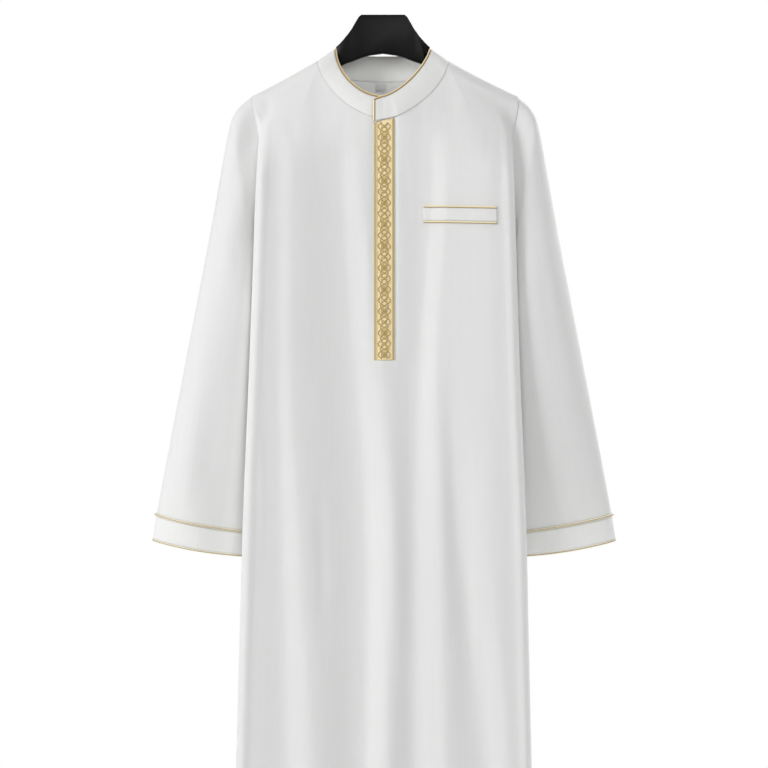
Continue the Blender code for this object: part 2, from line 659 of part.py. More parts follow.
def on_front(skin, x, z, out, reach=0.0):
    """The place on the front panel at x and z, moved forwards clear of what is within reach of it."""
    ahead = Vector((0.0, 1.0, 0.0))
    hits = [skin.ray_cast(Vector((x + dx, -1.0, z)), ahead)[0].y for dx in (-reach, 0.0, reach)]
    return np.array([x, min(hits) - out, z])


def laid_strip(name, skin, corners, counts, thickness, finish):
    """A flat strip on the front panel; corners are its left and right x and the z of each edge."""
    left, right, top_left, top_right, foot_left, foot_right = corners
    down, across = counts
    outer = []
    for i in range(down + 1):
        row = []
        for j in range(across + 1):
            share, fall = j / across, i / down
            top = top_left + share * (top_right - top_left)
            foot = foot_left + share * (foot_right - foot_left)
            x = left + share * (right - left)
            row.append(on_front(skin, x, top + fall * (foot - top), 1.5 * GAP + thickness, 0.004))
        outer.append(row)
    outer = np.array(outer)
    inward = np.zeros_like(outer)
    inward[..., 1] = thickness
    wall_object(name, outer, inward, finish)
    return outer


def build_front_details(skin, cloth, band, gold):
    corners = (
        PLACKET_LEFT, PLACKET_RIGHT,
        PLACKET_LEFT_TOP, PLACKET_RIGHT_TOP, PLACKET_FOOT, PLACKET_FOOT,
    )
    laid_strip("placket", skin, corners, (26, 3), PLACKET_THICKNESS, band)
    half = WELT_HEIGHT / 2
    corners = (
        WELT_LEFT, WELT_RIGHT,
        WELT_LEFT_Z + half, WELT_RIGHT_Z + half, WELT_LEFT_Z - half, WELT_RIGHT_Z - half,
    )
    welt = laid_strip("pocket_welt", skin, corners, (2, 10), WELT_THICKNESS, cloth)
    stand_off = PIPING_RADIUS + GAP
    for name, row, away in (("top", welt[0], stand_off), ("foot", welt[-1], -stand_off)):
        path = [on_front(skin, x, z + away, PIPING_RADIUS + 1.5 * GAP, 0.004) for x, _, z in row]
        piping_object(f"piping_welt_{name}", path, gold)


def build_cuff_pipings(sleeves, gold):
    for name, (cuff, cuff_out) in sleeves.items():
        stand_off = PIPING_RADIUS + GAP
        top = cuff[0] + cuff_out[0] * stand_off
        foot = cuff[-1] + unit(cuff[-1] - cuff[-2]) * stand_off - 0.5 * DOUBLED_CLOTH * cuff_out[-1]
        piping_object(f"piping_cuff_{name}_top", top, gold, closed=True)
        piping_object(f"piping_cuff_{name}_foot", foot, gold, closed=True)


def build_collar_piping(collar, collar_out, gold):
    """One piping along the collar's top edge, then down the free end of the lap.

    Behind the neck it rolls over to the outer face, below the edge.
    """
    stand_off = PIPING_RADIUS + GAP
    middle = collar - 0.5 * DOUBLED_CLOTH * collar_out
    along = unit(np.gradient(middle[0], axis=0))
    upwards = collar[0] - collar[1]
    upwards = unit(upwards - along * (upwards * along).sum(axis=1, keepdims=True))
    behind = [
        1.0 - abs(angle) / (0.5 * math.pi) if face == "back" else 0.0 for angle, face in collar_angles()
    ]
    rolled = 2.0 * ease(np.array(behind + [0.0]) / 0.5)[:, None]
    outwards = np.minimum(rolled, 1.0) * (stand_off + 0.5 * DOUBLED_CLOTH + GAP)
    upward = stand_off - np.maximum(rolled - 1.0, 0.0) * (stand_off + PIPING_RADIUS)
    top = middle[0] + upwards * upward + collar_out[0] * outwards
    end_out = unit(middle[:, -1] - middle[:, -2])
    corner = top[-1] + end_out[0] * stand_off
    end = middle[:, -1] + end_out * stand_off
    piping_object("piping_collar", np.vstack([top[2:], corner[None], end]), gold)


def build_label(back, cloth):
    """A small plain label inside the back, hanging from the collar's seam."""
    middle = back.shape[1] // 2
    y = back[:4, middle, 1].min() - CLOTH - 5.6 * GAP
    top_z = neckline(0.0, "back")[2] - 0.001
    mesh = bmesh.new()
    bmesh.ops.create_cube(mesh, size=1.0)
    bmesh.ops.scale(mesh, vec=(LABEL_WIDTH, LABEL_THICKNESS, LABEL_HEIGHT), verts=mesh.verts)
    place = Vector((LABEL_X, y - LABEL_THICKNESS / 2, top_z - LABEL_HEIGHT / 2))
    bmesh.ops.translate(mesh, vec=place, verts=mesh.verts)
    mesh_object("label", mesh, cloth)


def hanger_section(station, x):
    """A rounded rectangle across the hanger at one station."""
    corner = station.corner
    points = []
    for quarter, (y_side, z_side) in enumerate(((1, 1), (-1, 1), (-1, -1), (1, -1))):
        for k in range(CORNER_POINTS):
            angle = 0.5 * math.pi * (quarter + k / (CORNER_POINTS - 1))
            y = y_side * (station.depth - corner) + corner * math.cos(angle)
            z_edge = station.top - corner if z_side > 0 else station.under + corner
            points.append((x, y, z_edge + corner * math.sin(angle)))
    return points


def build_hanger(finish):
    stations = [(-s.x, s) for s in HANGER[:0:-1]] + [(s.x, s) for s in HANGER]
    mesh = bmesh.new()
    rings = [[mesh.verts.new(p) for p in hanger_section(s, x)] for x, s in stations]
    for near, far in zip(rings, rings[1:]):
        for j in range(len(near)):
            k = (j + 1) % len(near)
            mesh.faces.new((near[j], near[k], far[k], far[j]))
    mesh.faces.new(rings[0])
    mesh.faces.new(rings[-1])
    bmesh.ops.recalc_face_normals(mesh, faces=mesh.faces)
    return mesh_object("hanger", mesh, finish)


def main():
    clear_scene()
    cloth = material("white_cloth", WHITE, 0.8)
    band = material("placket_band", PALE_GOLD, 0.55)
    gold = material("gold_piping", GOLD, 0.45, 0.2)
    black = material("black_plastic", BLACK, 0.35)
    grids, collar, collar_out, sleeves = build_body_and_sleeves(cloth)
    build_front_details(skin_of(grids["front"]), cloth, band, gold)
    build_cuff_pipings(sleeves, gold)
    build_collar_piping(collar, collar_out, gold)
    build_label(grids["back"], cloth)
    build_hanger(black)


main()
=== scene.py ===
"""Looks for the white thobe on its hanger: cloth, pipings, woven band, light and camera.

Metres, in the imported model's frame: the origin is the middle of the hanger's flat top, +Z is up
and the robe's front faces -Y. The robe's surfaces are worked out as in the part's source, with
finer grids and finer creases.
"""

import math
from collections import namedtuple

import bmesh
import bpy
import numpy as np
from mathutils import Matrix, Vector
from mathutils.bvhtree import BVHTree


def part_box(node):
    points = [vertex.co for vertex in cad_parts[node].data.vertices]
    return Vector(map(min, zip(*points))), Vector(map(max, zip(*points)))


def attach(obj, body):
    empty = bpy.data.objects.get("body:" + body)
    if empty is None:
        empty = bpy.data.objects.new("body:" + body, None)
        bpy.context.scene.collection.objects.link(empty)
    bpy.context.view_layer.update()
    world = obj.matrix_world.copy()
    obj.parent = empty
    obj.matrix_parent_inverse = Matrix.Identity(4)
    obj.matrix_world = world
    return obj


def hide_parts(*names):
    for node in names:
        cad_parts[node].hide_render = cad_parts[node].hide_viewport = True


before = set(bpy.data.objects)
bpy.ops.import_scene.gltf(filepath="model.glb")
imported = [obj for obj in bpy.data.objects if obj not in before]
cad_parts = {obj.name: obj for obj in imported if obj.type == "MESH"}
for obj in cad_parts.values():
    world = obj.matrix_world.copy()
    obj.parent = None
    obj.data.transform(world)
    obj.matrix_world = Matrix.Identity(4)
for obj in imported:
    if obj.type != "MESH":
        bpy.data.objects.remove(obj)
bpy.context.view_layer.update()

# Driving sizes, the same as the solids' but for thinner cloth and band
ROBE_LENGTH = 1.400
CLOTH = 0.0014
DOUBLED_CLOTH = 0.0020
GAP = 0.0003
SEAM = 0.0001
PIPING_RADIUS = 0.0016
COLLAR_PIPING = 0.0018
NECK_X, NECK_Z = 0.0987, -0.0696
FRONT_NECK_DROP, FRONT_NECK_POWER = 0.0915, 1.60
BACK_NECK_DROP, BACK_NECK_POWER = 0.0279, 2.5
SHOULDER_END_X, SHOULDER_END_Z = 0.200, -0.1228
SHOULDER_SAG = 0.0013
UNDERARM_Z = -0.375
HEM_Z = NECK_Z - ROBE_LENGTH
ARMHOLE_REACH = 0.036
ARM_RADIUS = 0.021
CHEST_Z = -0.190
DRIFT = 0.150
LIFT_RUN = 0.090
ARMHOLE_SHARE, ARMHOLE_ROUNDNESS = 0.40, 0.38
BACK_SAG = 0.2
SECTION_POINTS = 241
NECK_SHARE = {"front": 9.0 / 19.0, "back": 8.0 / 17.0}

Level = namedtuple("Level", "z edge front back tuck sag lean")
LEVELS = (
    Level(-0.190, 0.1885, 0.058, 0.052, 0.000, 0.011, 0.0040),
    Level(-0.280, 0.1920, 0.062, 0.056, 0.004, 0.015, 0.0030),
    Level(-0.375, 0.1950, 0.064, 0.058, 0.010, 0.017, 0.0028),
    Level(-0.577, 0.2018, 0.069, 0.062, 0.028, 0.016, 0.0022),
    Level(-0.727, 0.2080, 0.072, 0.066, 0.036, 0.012, 0.0022),
    Level(-0.900, 0.2125, 0.076, 0.070, 0.045, 0.009, 0.0020),
    Level(-1.125, 0.2180, 0.080, 0.077, 0.058, 0.007, 0.0015),
    Level(HEM_Z, 0.2290, 0.088, 0.088, 0.075, 0.005, 0.0010),
)

# Crests and troughs of the panels in millimetres, at the chest, waist, hip, knee and hem
FOLD_LEVELS = (-0.270, -0.570, -0.720, -1.125, HEM_Z)
FOLD_TOP, FOLD_RUN, FOLD_MARGIN = -0.140, 0.11, 0.012
Fold = namedtuple("Fold", "x_chest x_waist x_hip x_knee x_hem h_chest h_waist h_hip h_knee h_hem")
FRONT_FOLDS = (
    Fold(-158, -158, -156, -148, -146, -2, -3, -5, -9, -13),
    Fold(-137, -136, -126, -104, -98, 0, 1, 2, 3, 5),
    Fold(-64, -44, -32, -30, -31, -7, -11, -14, -16, -18),
    Fold(-30, 2, 12, 6, 4, 0, 2, 4, 4, 5),
    Fold(68, 50, 48, 48, 50, -7, -8, -7, -10, -13),
    Fold(96, 80, 84, 91, 97, 1, 3, 3, 4, 5),
    Fold(118, 102, 106, 148, 158, 1, 1, -4, -10, -14),
    Fold(152, 152, 154, 186, 192, 2, 2, 2, 2, 2),
)
BACK_FOLDS = (
    Fold(-150, -150, -152, -155, -160, -3, -5, -6, -9, -12),
    Fold(-110, -112, -112, -108, -105, 1, 2, 3, 4, 6),
    Fold(-62, -66, -68, -66, -62, -4, -8, -10, -13, -16),
    Fold(-15, -14, -14, -16, -15, 1, 2, 3, 3, 5),
    Fold(38, 36, 36, 34, 36, -5, -9, -11, -12, -15),
    Fold(82, 80, 80, 80, 82, 1, 2, 3, 4, 5),
    Fold(126, 124, 124, 122, 125, -4, -6, -8, -10, -13),
    Fold(158, 160, 162, 165, 170, 0, 1, 1, 2, 3),
)

# Fine creases of the front and back: from one place to another, in millimetres right of the
# middle and below the origin, with their width and their height
Wrinkle = namedtuple("Wrinkle", "x0 z0 x1 z1 width height")
FRONT_WRINKLES = (
    Wrinkle(-196, -136, -185, -186, 8, 2.6),
    Wrinkle(-187, -150, -186, -290, 9, 1.8),
    Wrinkle(-180, -104, -171, -190, 12, -1.6),
    Wrinkle(-150, -150, -120, -215, 16, -1.0),
    Wrinkle(-118, -120, -104, -200, 14, 0.8),
    Wrinkle(120, -112, 108, -190, 15, 0.8),
    Wrinkle(160, -150, 146, -230, 15, -1.0),
    Wrinkle(30, -190, 36, -330, 12, -0.7),
    Wrinkle(-40, -260, -30, -470, 14, -0.8),
    Wrinkle(-95, -640, -88, -980, 16, -1.6),
    Wrinkle(118, -700, 128, -1060, 14, -1.0),
    Wrinkle(8, -760, 14, -1100, 15, -1.2),
    Wrinkle(72, -880, 80, -1240, 14, -1.0),
    Wrinkle(-184, -560, -180, -820, 10, 0.8),
)
BACK_WRINKLES = (
    Wrinkle(-120, -120, -96, -230, 18, 1.2),
    Wrinkle(124, -124, 98, -240, 18, 1.2),
    Wrinkle(-40, -160, -34, -360, 16, -0.9),
    Wrinkle(60, -520, 66, -900, 15, -1.3),
    Wrinkle(-96, -700, -90, -1080, 15, -1.4),
    Wrinkle(104, -860, 110, -1260, 14, -1.2),
)

# Cross-sections of the sleeve, its cuff a little off the solids' own, and its creases
Ring = namedtuple("Ring", "out_x out_z in_x in_z depth")
SLEEVE = (
    Ring(SHOULDER_END_X, SHOULDER_END_Z, 0.1780, UNDERARM_Z, ARMHOLE_REACH),
    Ring(0.2204, -0.1430, 0.1860, -0.3790, 0.042),
    Ring(0.2325, -0.1740, 0.1895, -0.3920, 0.046),
    Ring(0.2500, -0.2700, 0.1910, -0.4230, 0.050),
    Ring(0.2650, -0.3525, 0.1915, -0.4550, 0.051),
    Ring(0.2940, -0.5025, 0.1940, -0.5520, 0.046),
    Ring(0.3230, -0.6525, 0.1965, -0.6760, 0.035),
    Ring(0.3410, -0.7488, 0.1985, -0.7745, 0.027),
    Ring(0.3468, -0.7850, 0.2005, -0.8085, 0.026),
)
CUFF_START = (len(SLEEVE) - 2) / (len(SLEEVE) - 1)
TUCK, TUCK_DEPTH = 0.012, 0.0003
ARMHOLE_FADE, SHOULDER_BLEND = 0.22, 0.05
SLEEVE_OUTER_POWER, SLEEVE_INNER_POWER, SLEEVE_SWELL = 0.56, 0.58, 0.10
SLEEVE_LEAN = 0.0020
CUFF_SAG = 0.0035
Crease = namedtuple("Crease", "turn width height start end")
LEFT_SLEEVE_CREASES = (
    Crease(0.25, 0.08, 3.5, 0.00, 0.42),
    Crease(0.34, 0.06, -4.0, 0.00, 0.34),
    Crease(0.13, 0.06, 2.5, 0.00, 0.30),
    Crease(0.20, 0.09, 3.0, 0.16, 0.60),
    Crease(0.42, 0.09, 6.0, 0.06, 0.96),
    Crease(0.24, 0.08, -2.5, 0.60, 0.90),
    Crease(0.17, 0.16, 14.0, 0.50, 1.15),
    Crease(0.24, 0.10, 4.0, 0.72, 1.20),
    Crease(0.70, 0.10, -3.5, 0.15, 0.90),
)
RIGHT_SLEEVE_CREASES = (
    Crease(0.42, 0.09, 6.0, 0.06, 0.96),
    Crease(0.15, 0.09, 2.5, 0.20, 0.80),
    Crease(0.72, 0.10, -3.5, 0.15, 0.90),
)

COLLAR_TOP_X, COLLAR_TOP_Z = 0.0726, -0.0515
COLLAR_FRONT_Y, COLLAR_FRONT_DROP = 0.041, 0.0770
COLLAR_LEFT_POWER, COLLAR_RIGHT_POWER = 1.85, 1.42
COLLAR_BACK_Y, COLLAR_BACK_DROP = 0.036, 0.0060
COLLAR_LAP = 0.0034
LAP_TOP_END, LAP_FOOT_END = (-0.0113, -0.0038, -0.0045), (-0.0113, -0.0014, -0.0033)
LAP_POINTS, COLLAR_ROWS = 8, 13
COLLAR_SWELL, COLLAR_TUCK = 0.0015, 0.0016

PLACKET_LEFT, PLACKET_RIGHT = -0.0130, 0.0165
PLACKET_LEFT_TOP, PLACKET_RIGHT_TOP, PLACKET_FOOT = -0.1664, -0.1592, -0.5183
PLACKET_THICKNESS = 0.0012
WELT_LEFT, WELT_RIGHT = 0.0600, 0.1680
WELT_LEFT_Z, WELT_RIGHT_Z = -0.3014, -0.3045
WELT_HEIGHT = 0.0190
WELT_THICKNESS = 0.0016

# Woven band: the strands cross once in each step, and motifs of two kinds alternate between them
BAND_STEP = 0.0161
BAND_GROOVE, BAND_SWELL = 0.0016, 0.0024
STRAND_REACH, INNER_STRAND_REACH, STRAND_LIFT = 0.0089, 0.0056, 0.0004
RING_REACH, DIAMOND_REACH, LINE_REACH, LINE_SHIFT = 0.0042, 0.0022, 0.0052, 0.0014
RAIL_INSET, EDGE_INSET = 0.0030, 0.0009
THREAD_RADIUS = 0.00082
PIPING_STEP, THREAD_STEP, LONG_THREAD = 0.002, 0.0012, 60

# The hanger's rounded edges, and where it fills the collar
HANGER_CORNER, HANGER_ROUND = 0.45, 0.0040
HANGER_FILL, HANGER_DROP, HANGER_FILL_Z, HANGER_FILL_RUN = 0.0036, 0.0020, -0.0460, 0.010

# Camera and stage; lamps have a name, a place, a width and watts
IMAGE_PIXELS = 768.0
PIXEL = 0.0015
CAMERA_DISTANCE = 3.6
CAMERA_X, CAMERA_Z = 0.0015, -0.5535
SENSOR = 36.0
FLOOR_Z, FLOOR_REACH = HEM_Z - 0.10, 2.2
AMBIENT = 0.47
LAMP_AIM = (0.0, 0.0, -0.6)
LAMPS = (
    ("key", (-2.8, -1.9, 0.4), 1.4, 59.0),
    ("fill", (0.9, -3.4, 0.9), 1.6, 28.0),
    ("back", (1.5, 2.3, 0.8), 1.6, 56.0),
    ("rim", (2.6, 0.9, 0.0), 1.4, 20.0),
)

# Colours round the pipings, from the seam that holds them to the far side. On the collar and welt
# pipings the dark brown by the seam is painted shade on the underside and the cream far side is a
# painted highlight; the cuff pipings have a dark stripe between cream edges
PIPING_SHADE_AND_HIGHLIGHT_STOPS = (
    (0.00, (0.34, 0.20, 0.05)), (0.20, (0.42, 0.26, 0.07)), (0.245, (0.66, 0.48, 0.19)),
    (0.28, (0.92, 0.80, 0.53)), (0.50, (0.96, 0.88, 0.66)),
)
CUFF_PIPING_STOPS = (
    (0.00, (0.92, 0.80, 0.52)), (0.20, (0.95, 0.86, 0.62)), (0.235, (0.22, 0.13, 0.04)),
    (0.275, (0.22, 0.13, 0.04)), (0.31, (0.96, 0.88, 0.66)), (0.50, (0.96, 0.88, 0.66)),
)


def smooth(t):
    t = np.clip(t, 0.0, 1.0)
    return t * t * (3.0 - 2.0 * t)


def bump(t):
    """One at t = 0, easing to nothing at t = -1 and t = 1."""
    return 1.0 - smooth(np.abs(t))


def unit(vectors):
    return vectors / np.linalg.norm(vectors, axis=-1, keepdims=True)


def through(knots, values, at):
    """Reads a smooth curve through the values at the rising knots."""
    knots = np.asarray(knots, float)
    values = np.asarray(values, float).reshape(len(knots), -1)
    at = np.clip(np.asarray(at, float), knots[0], knots[-1])
    steps = np.diff(knots)[:, None]
    slopes = np.diff(values, axis=0) / steps
    inner = (slopes[1:] * steps[:-1] + slopes[:-1] * steps[1:]) / (steps[1:] + steps[:-1])
    tangents = np.vstack([slopes[:1], inner, slopes[-1:]])
    i = np.clip(np.searchsorted(knots, at, side="right") - 1, 0, len(knots) - 2)
    h = steps[i, 0][:, None]
    t = ((at - knots[i]) / steps[i, 0])[:, None]
    from_start = values[i] * (1 + 2 * t) * (1 - t) ** 2 + tangents[i] * h * t * (1 - t) ** 2
    from_end = values[i + 1] * t * t * (3 - 2 * t) - tangents[i + 1] * h * t * t * (1 - t)
    return from_start + from_end


# The body's surface

def levels_at(z):
    """Half width, front depth, back depth, tuck, sag and lean of the body at an array of heights."""
    rows = sorted(LEVELS)
    return through([r.z for r in rows], [r[1:] for r in rows], z).T


def armhole_depth(z):
    share = np.clip((z - UNDERARM_Z) / (SHOULDER_END_Z - UNDERARM_Z), 0.0, 1.0)
    return ARMHOLE_REACH * (4.0 * share * (1.0 - share)) ** ARMHOLE_ROUNDNESS


def half_section(z, face):
    """The body's outline at one height, from the middle of a face to the side seam or armhole."""
    edge, front, back, tuck, sag, _ = (values[0] for values in levels_at([z]))
    depth, hollow = (front, sag) if face == "front" else (back, BACK_SAG * sag)
    shape = np.array([
        (-0.50 * edge, depth - 0.62 * hollow),
        (0.0, depth - hollow),
        (0.50 * edge, depth - 0.62 * hollow),
        (0.80 * edge, depth - 0.18 * hollow - 0.0005),
        (edge - 0.021, depth - 0.0022),
        (edge - 0.008, depth - 0.0002),
        (edge - 0.0018, depth - 0.005),
        (edge, depth - 0.012),
        (edge - 0.0015, depth - 0.019),
        (edge - 0.004 - 0.30 * tuck, 0.48 * depth),
        (edge - 0.006 - 0.84 * tuck, 0.18 * depth),
        (edge - 0.006 - tuck, 0.5 * GAP),
    ])
    lengths = np.concatenate([[0.0], np.cumsum(np.linalg.norm(np.diff(shape, axis=0), axis=1))])
    curve = through(lengths, shape, np.linspace(lengths[1], lengths[-1], 400))
    cut = float(armhole_depth(z)) if z > UNDERARM_Z else 0.5 * GAP
    last = len(curve) - 1
    while last > 1 and curve[last - 1, 1] < cut:
        last -= 1
    kept = curve[:last + 1].copy()
    if curve[last, 1] < cut < curve[last - 1, 1]:
        share = (curve[last - 1, 1] - cut) / (curve[last - 1, 1] - curve[last, 1])
        kept[last] = curve[last - 1] + share * (curve[last] - curve[last - 1])
    steps = np.linalg.norm(np.diff(kept, axis=0), axis=1)
    from_fold = np.abs(kept[1:, 0] + kept[1:, 1] - edge - depth + 0.007)
    closer = 1.0 + 1.5 * smooth(1.0 - from_fold / 0.03)
    along = np.concatenate([[0.0], np.cumsum(steps * closer)])
    want = np.linspace(0.0, along[-1], SECTION_POINTS)
    return np.column_stack([np.interp(want, along, kept[:, 0]), np.interp(want, along, kept[:, 1])])


SECTION_HEIGHTS = np.linspace(HEM_Z, CHEST_Z, 480)
SECTIONS = {
    face: np.array([half_section(z, face) for z in SECTION_HEIGHTS]) for face in ("front", "back")
}


def on_section(u, z, face):
    """Points of the body at shares u of the way from the middle to the panel's edge."""
    table = SECTIONS[face]
    row = np.interp(z, SECTION_HEIGHTS, np.arange(len(SECTION_HEIGHTS)))
    place = np.abs(u) * (SECTION_POINTS - 1)
    i = np.clip(row.astype(int), 0, len(SECTION_HEIGHTS) - 2)
    j = np.clip(place.astype(int), 0, SECTION_POINTS - 2)
    a, b = (row - i)[:, None], (place - j)[:, None]
    point = (
        (1 - a) * (1 - b) * table[i, j] + (1 - a) * b * table[i, j + 1]
        + a * (1 - b) * table[i + 1, j] + a * b * table[i + 1, j + 1]
    )
    outward = -1.0 if face == "front" else 1.0
    return np.column_stack([np.copysign(point[:, 0], u), outward * point[:, 1], z])


def neck_shape(angle, x, z, drop, power):
    """Place across and height on a neck curve: angle 0 is its middle, a quarter turn its side."""
    across = np.abs(np.sin(angle)) ** (2.0 / power)
    down = np.abs(np.cos(angle)) ** (2.0 / power)
    return np.copysign(x * across, angle), z - drop * down


def collar_top(angle, face):
    """Points of the collar's top edge."""
    if face == "front":
        depth, drop = -COLLAR_FRONT_Y, COLLAR_FRONT_DROP
        power = np.where(np.asarray(angle) < 0.0, COLLAR_LEFT_POWER, COLLAR_RIGHT_POWER)
    else:
        depth, drop, power = COLLAR_BACK_Y, COLLAR_BACK_DROP, BACK_NECK_POWER
    x, z = neck_shape(angle, COLLAR_TOP_X, COLLAR_TOP_Z, drop, power)
    forward = np.maximum(0.0, 1.0 - (x / COLLAR_TOP_X) ** 2) ** 0.4
    return np.stack([x, depth * forward, z], axis=-1)


def neckline(angle, face):
    """Points of the neckline, which lies on the panel's surface."""
    u = NECK_SHARE[face] * np.asarray(angle, float) / (0.5 * np.pi)
    return panel_points(u, np.zeros_like(u), face)


def shoulder_height(x):
    """Height of the shoulder's line, straight on above the neck."""
    out = (np.abs(x) - NECK_X) / (SHOULDER_END_X - NECK_X)
    sag = SHOULDER_SAG * np.sin(np.pi * np.clip(out, 0.0, 1.0))
    return NECK_Z + out * (SHOULDER_END_Z - NECK_Z) - sag


def top_of_panel(u, face):
    """Place across and height of the panel's top edge: neckline in the middle, shoulder beside it."""
    share = NECK_SHARE[face]
    angle = 0.5 * np.pi * np.clip(u / share, -1.0, 1.0)
    if face == "front":
        neck_x, neck_z = neck_shape(angle, NECK_X, NECK_Z, FRONT_NECK_DROP, FRONT_NECK_POWER)
    else:
        neck_x, neck_z = neck_shape(angle, NECK_X, NECK_Z, BACK_NECK_DROP, BACK_NECK_POWER)
    out = np.clip((np.abs(u) - share) / (1.0 - share), 0.0, 1.0)
    x = np.copysign(NECK_X + out * (SHOULDER_END_X - NECK_X), u)
    at_neck = np.abs(u) < share
    return np.where(at_neck, neck_x, x), np.where(at_neck, neck_z, shoulder_height(x))


def share_of_depth(drop, depth):
    """How much of its depth the cloth has, a drop below the shoulder: round the hanger, then on."""
    round_over = np.clip(drop / ARM_RADIUS, 0.0, 1.0)
    quarter = np.sqrt(1.0 - (1.0 - round_over) ** 2)
    share = np.minimum(1.0, ARM_RADIUS / np.maximum(np.abs(depth), 1e-6))
    return share * quarter + (1.0 - share) * smooth(drop / DRIFT)


def fold_heights(x, z, folds):
    """Heights in metres of the folds at places on a panel, smooth from crest to trough to crest."""
    rows = FOLD_LEVELS[::-1]
    edge = levels_at(z)[0] - FOLD_MARGIN
    keys = [(-edge, np.zeros_like(z))]
    for fold in folds:
        at = through(rows, np.column_stack([fold[:5][::-1], fold[5:][::-1]]), z) / 1000.0
        keys.append((at[:, 0], at[:, 1]))
    keys.append((edge, np.zeros_like(z)))
    total = np.zeros_like(x)
    for (x0, h0), (x1, h1) in zip(keys, keys[1:]):
        inside = (x >= x0) & (x < x1)
        total = np.where(inside, h0 + smooth((x - x0) / (x1 - x0)) * (h1 - h0), total)
    return total * smooth((FOLD_TOP - z) / FOLD_RUN)


def wrinkle_heights(x, z, wrinkles):
    total = np.zeros_like(x)
    for w in wrinkles:
        start, end = np.array([w.x0, w.z0]) / 1000.0, np.array([w.x1, w.z1]) / 1000.0
        run = end - start
        t = ((x - start[0]) * run[0] + (z - start[1]) * run[1]) / run.dot(run)
        away = ((x - start[0]) * run[1] - (z - start[1]) * run[0]) / np.linalg.norm(run)
        total += w.height / 1000.0 * bump(away / (w.width / 1000.0)) * bump(2.0 * t - 1.0)
    return total


def beside_the_band(x, z):
    """The front lies a little lower at the band's left edge and swells up at its right edge."""
    along = smooth((z - PLACKET_FOOT + 0.030) / 0.060)
    groove = BAND_GROOVE * bump((x - PLACKET_LEFT - 0.003) / 0.014)
    swell = BAND_SWELL * smooth((x - PLACKET_RIGHT + 0.0010) / 0.0075)
    swell *= 1.0 - smooth((x - 0.028) / 0.032)
    return along * (swell - groove)


def panel_points(u, v, face):
    """Points of the front or back panel; u runs from side to side and v from the top to the hem."""
    folds, wrinkles = (FRONT_FOLDS, FRONT_WRINKLES) if face == "front" else (BACK_FOLDS, BACK_WRINKLES)
    outward = -1.0 if face == "front" else 1.0
    top_x, top_z = top_of_panel(u, face)
    upper = (1.0 - np.cos(np.pi * np.clip(v / ARMHOLE_SHARE, 0.0, 1.0))) / 2.0
    lower = np.clip((v - ARMHOLE_SHARE) / (1.0 - ARMHOLE_SHARE), 0.0, 1.0)
    z = top_z + upper * (UNDERARM_Z - top_z) + lower * (HEM_Z - UNDERARM_Z)
    point = on_section(u, np.minimum(z, CHEST_Z), face)
    lift = top_x - on_section(u, np.minimum(top_z, CHEST_Z), face)[:, 0]
    point[:, 0] += lift * (1.0 - smooth((top_z - z) / LIFT_RUN))
    point[:, 2] = z
    _, front, back, _, _, lean = levels_at(z)
    depth = front if face == "front" else back
    on_the_face = smooth((np.abs(point[:, 1]) / depth - 0.45) / 0.35)
    point[:, 1] *= share_of_depth(shoulder_height(top_x) - z, point[:, 1])
    point[:, 1] = outward * np.maximum(outward * point[:, 1], 0.5 * GAP)
    relief = fold_heights(point[:, 0], z, folds) + wrinkle_heights(point[:, 0], z, wrinkles)
    if face == "front":
        relief += beside_the_band(point[:, 0], z)
    point[:, 1] += outward * on_the_face * relief
    point[:, 0] += lean * smooth((np.abs(point[:, 0]) - 0.04) / 0.12) * smooth((-0.065 - z) / 0.09)
    return point


# The sleeves' surface

def sleeve_section(place, turn, side, creases):
    """Points round the sleeve: place runs down it, turn from its outer side over its front."""
    knots = np.linspace(0.0, 1.0, len(SLEEVE))
    out_x, out_z, in_x, in_z, depth = through(knots, SLEEVE, place).T
    cos, sin = np.cos(2.0 * np.pi * turn), np.sin(2.0 * np.pi * turn)
    height = np.zeros_like(turn)
    for crease in creases:
        run = (place - crease.start) / (crease.end - crease.start)
        around = bump((turn - crease.turn) / crease.width)
        height += crease.height / 1000.0 * around * bump(2.0 * run - 1.0)
    swell = 1.0 + height / np.maximum(depth, 0.02)
    x = side * (0.5 * (out_x + in_x) + 0.5 * (out_x - in_x) * cos) + SLEEVE_LEAN
    z = 0.5 * (out_z + in_z) + 0.5 * (out_z - in_z) * cos
    z -= CUFF_SAG * sin**2 * smooth((place - 0.75) / 0.2)
    power = np.where(cos > 0.0, SLEEVE_OUTER_POWER, SLEEVE_INNER_POWER)
    boxy = np.copysign(np.abs(sin) ** power, sin)
    swell *= 1.0 - SLEEVE_SWELL * cos
    return np.column_stack([x, -depth * boxy * swell, z])


def armhole_points(turn, side, inside=0.0):
    """The armhole's edge, or a share inside it; turn 0 is the shoulder, a half turn the underarm."""
    v = ARMHOLE_SHARE * 2.0 * np.minimum(turn, 1.0 - turn)
    u = side * (1.0 - np.zeros_like(v) - inside)
    at_front, at_back = panel_points(u, v, "front"), panel_points(u, v, "back")
    apart = 0.5 * smooth(np.minimum(turn, 1.0 - turn) / SHOULDER_BLEND)
    front_share = np.where(turn <= 0.5, 0.5 + apart, 0.5 - apart)[:, None]
    return front_share * at_front + (1.0 - front_share) * at_back


def sleeve_points(place, turn, side, creases):
    """Points of the sleeve; a place below nothing lies tucked in below the panel's edge."""
    beyond = np.maximum(place, 0.0)
    fade = (1.0 - smooth(beyond / ARMHOLE_FADE))[:, None]
    first = sleeve_section(np.zeros_like(place), turn, side, creases)
    edge = armhole_points(turn, side)
    points = sleeve_section(beyond, turn, side, creases) + (edge - first) * fade
    tucked = armhole_points(turn, side, np.maximum(-place, 0.0)) - edge
    angle = 2.0 * np.pi * turn
    deeper = np.column_stack([np.zeros_like(turn), np.sin(angle), -np.cos(angle)])
    return points + tucked + deeper * (TUCK_DEPTH * smooth((0.004 - place) / 0.012))[:, None]


# Meshes

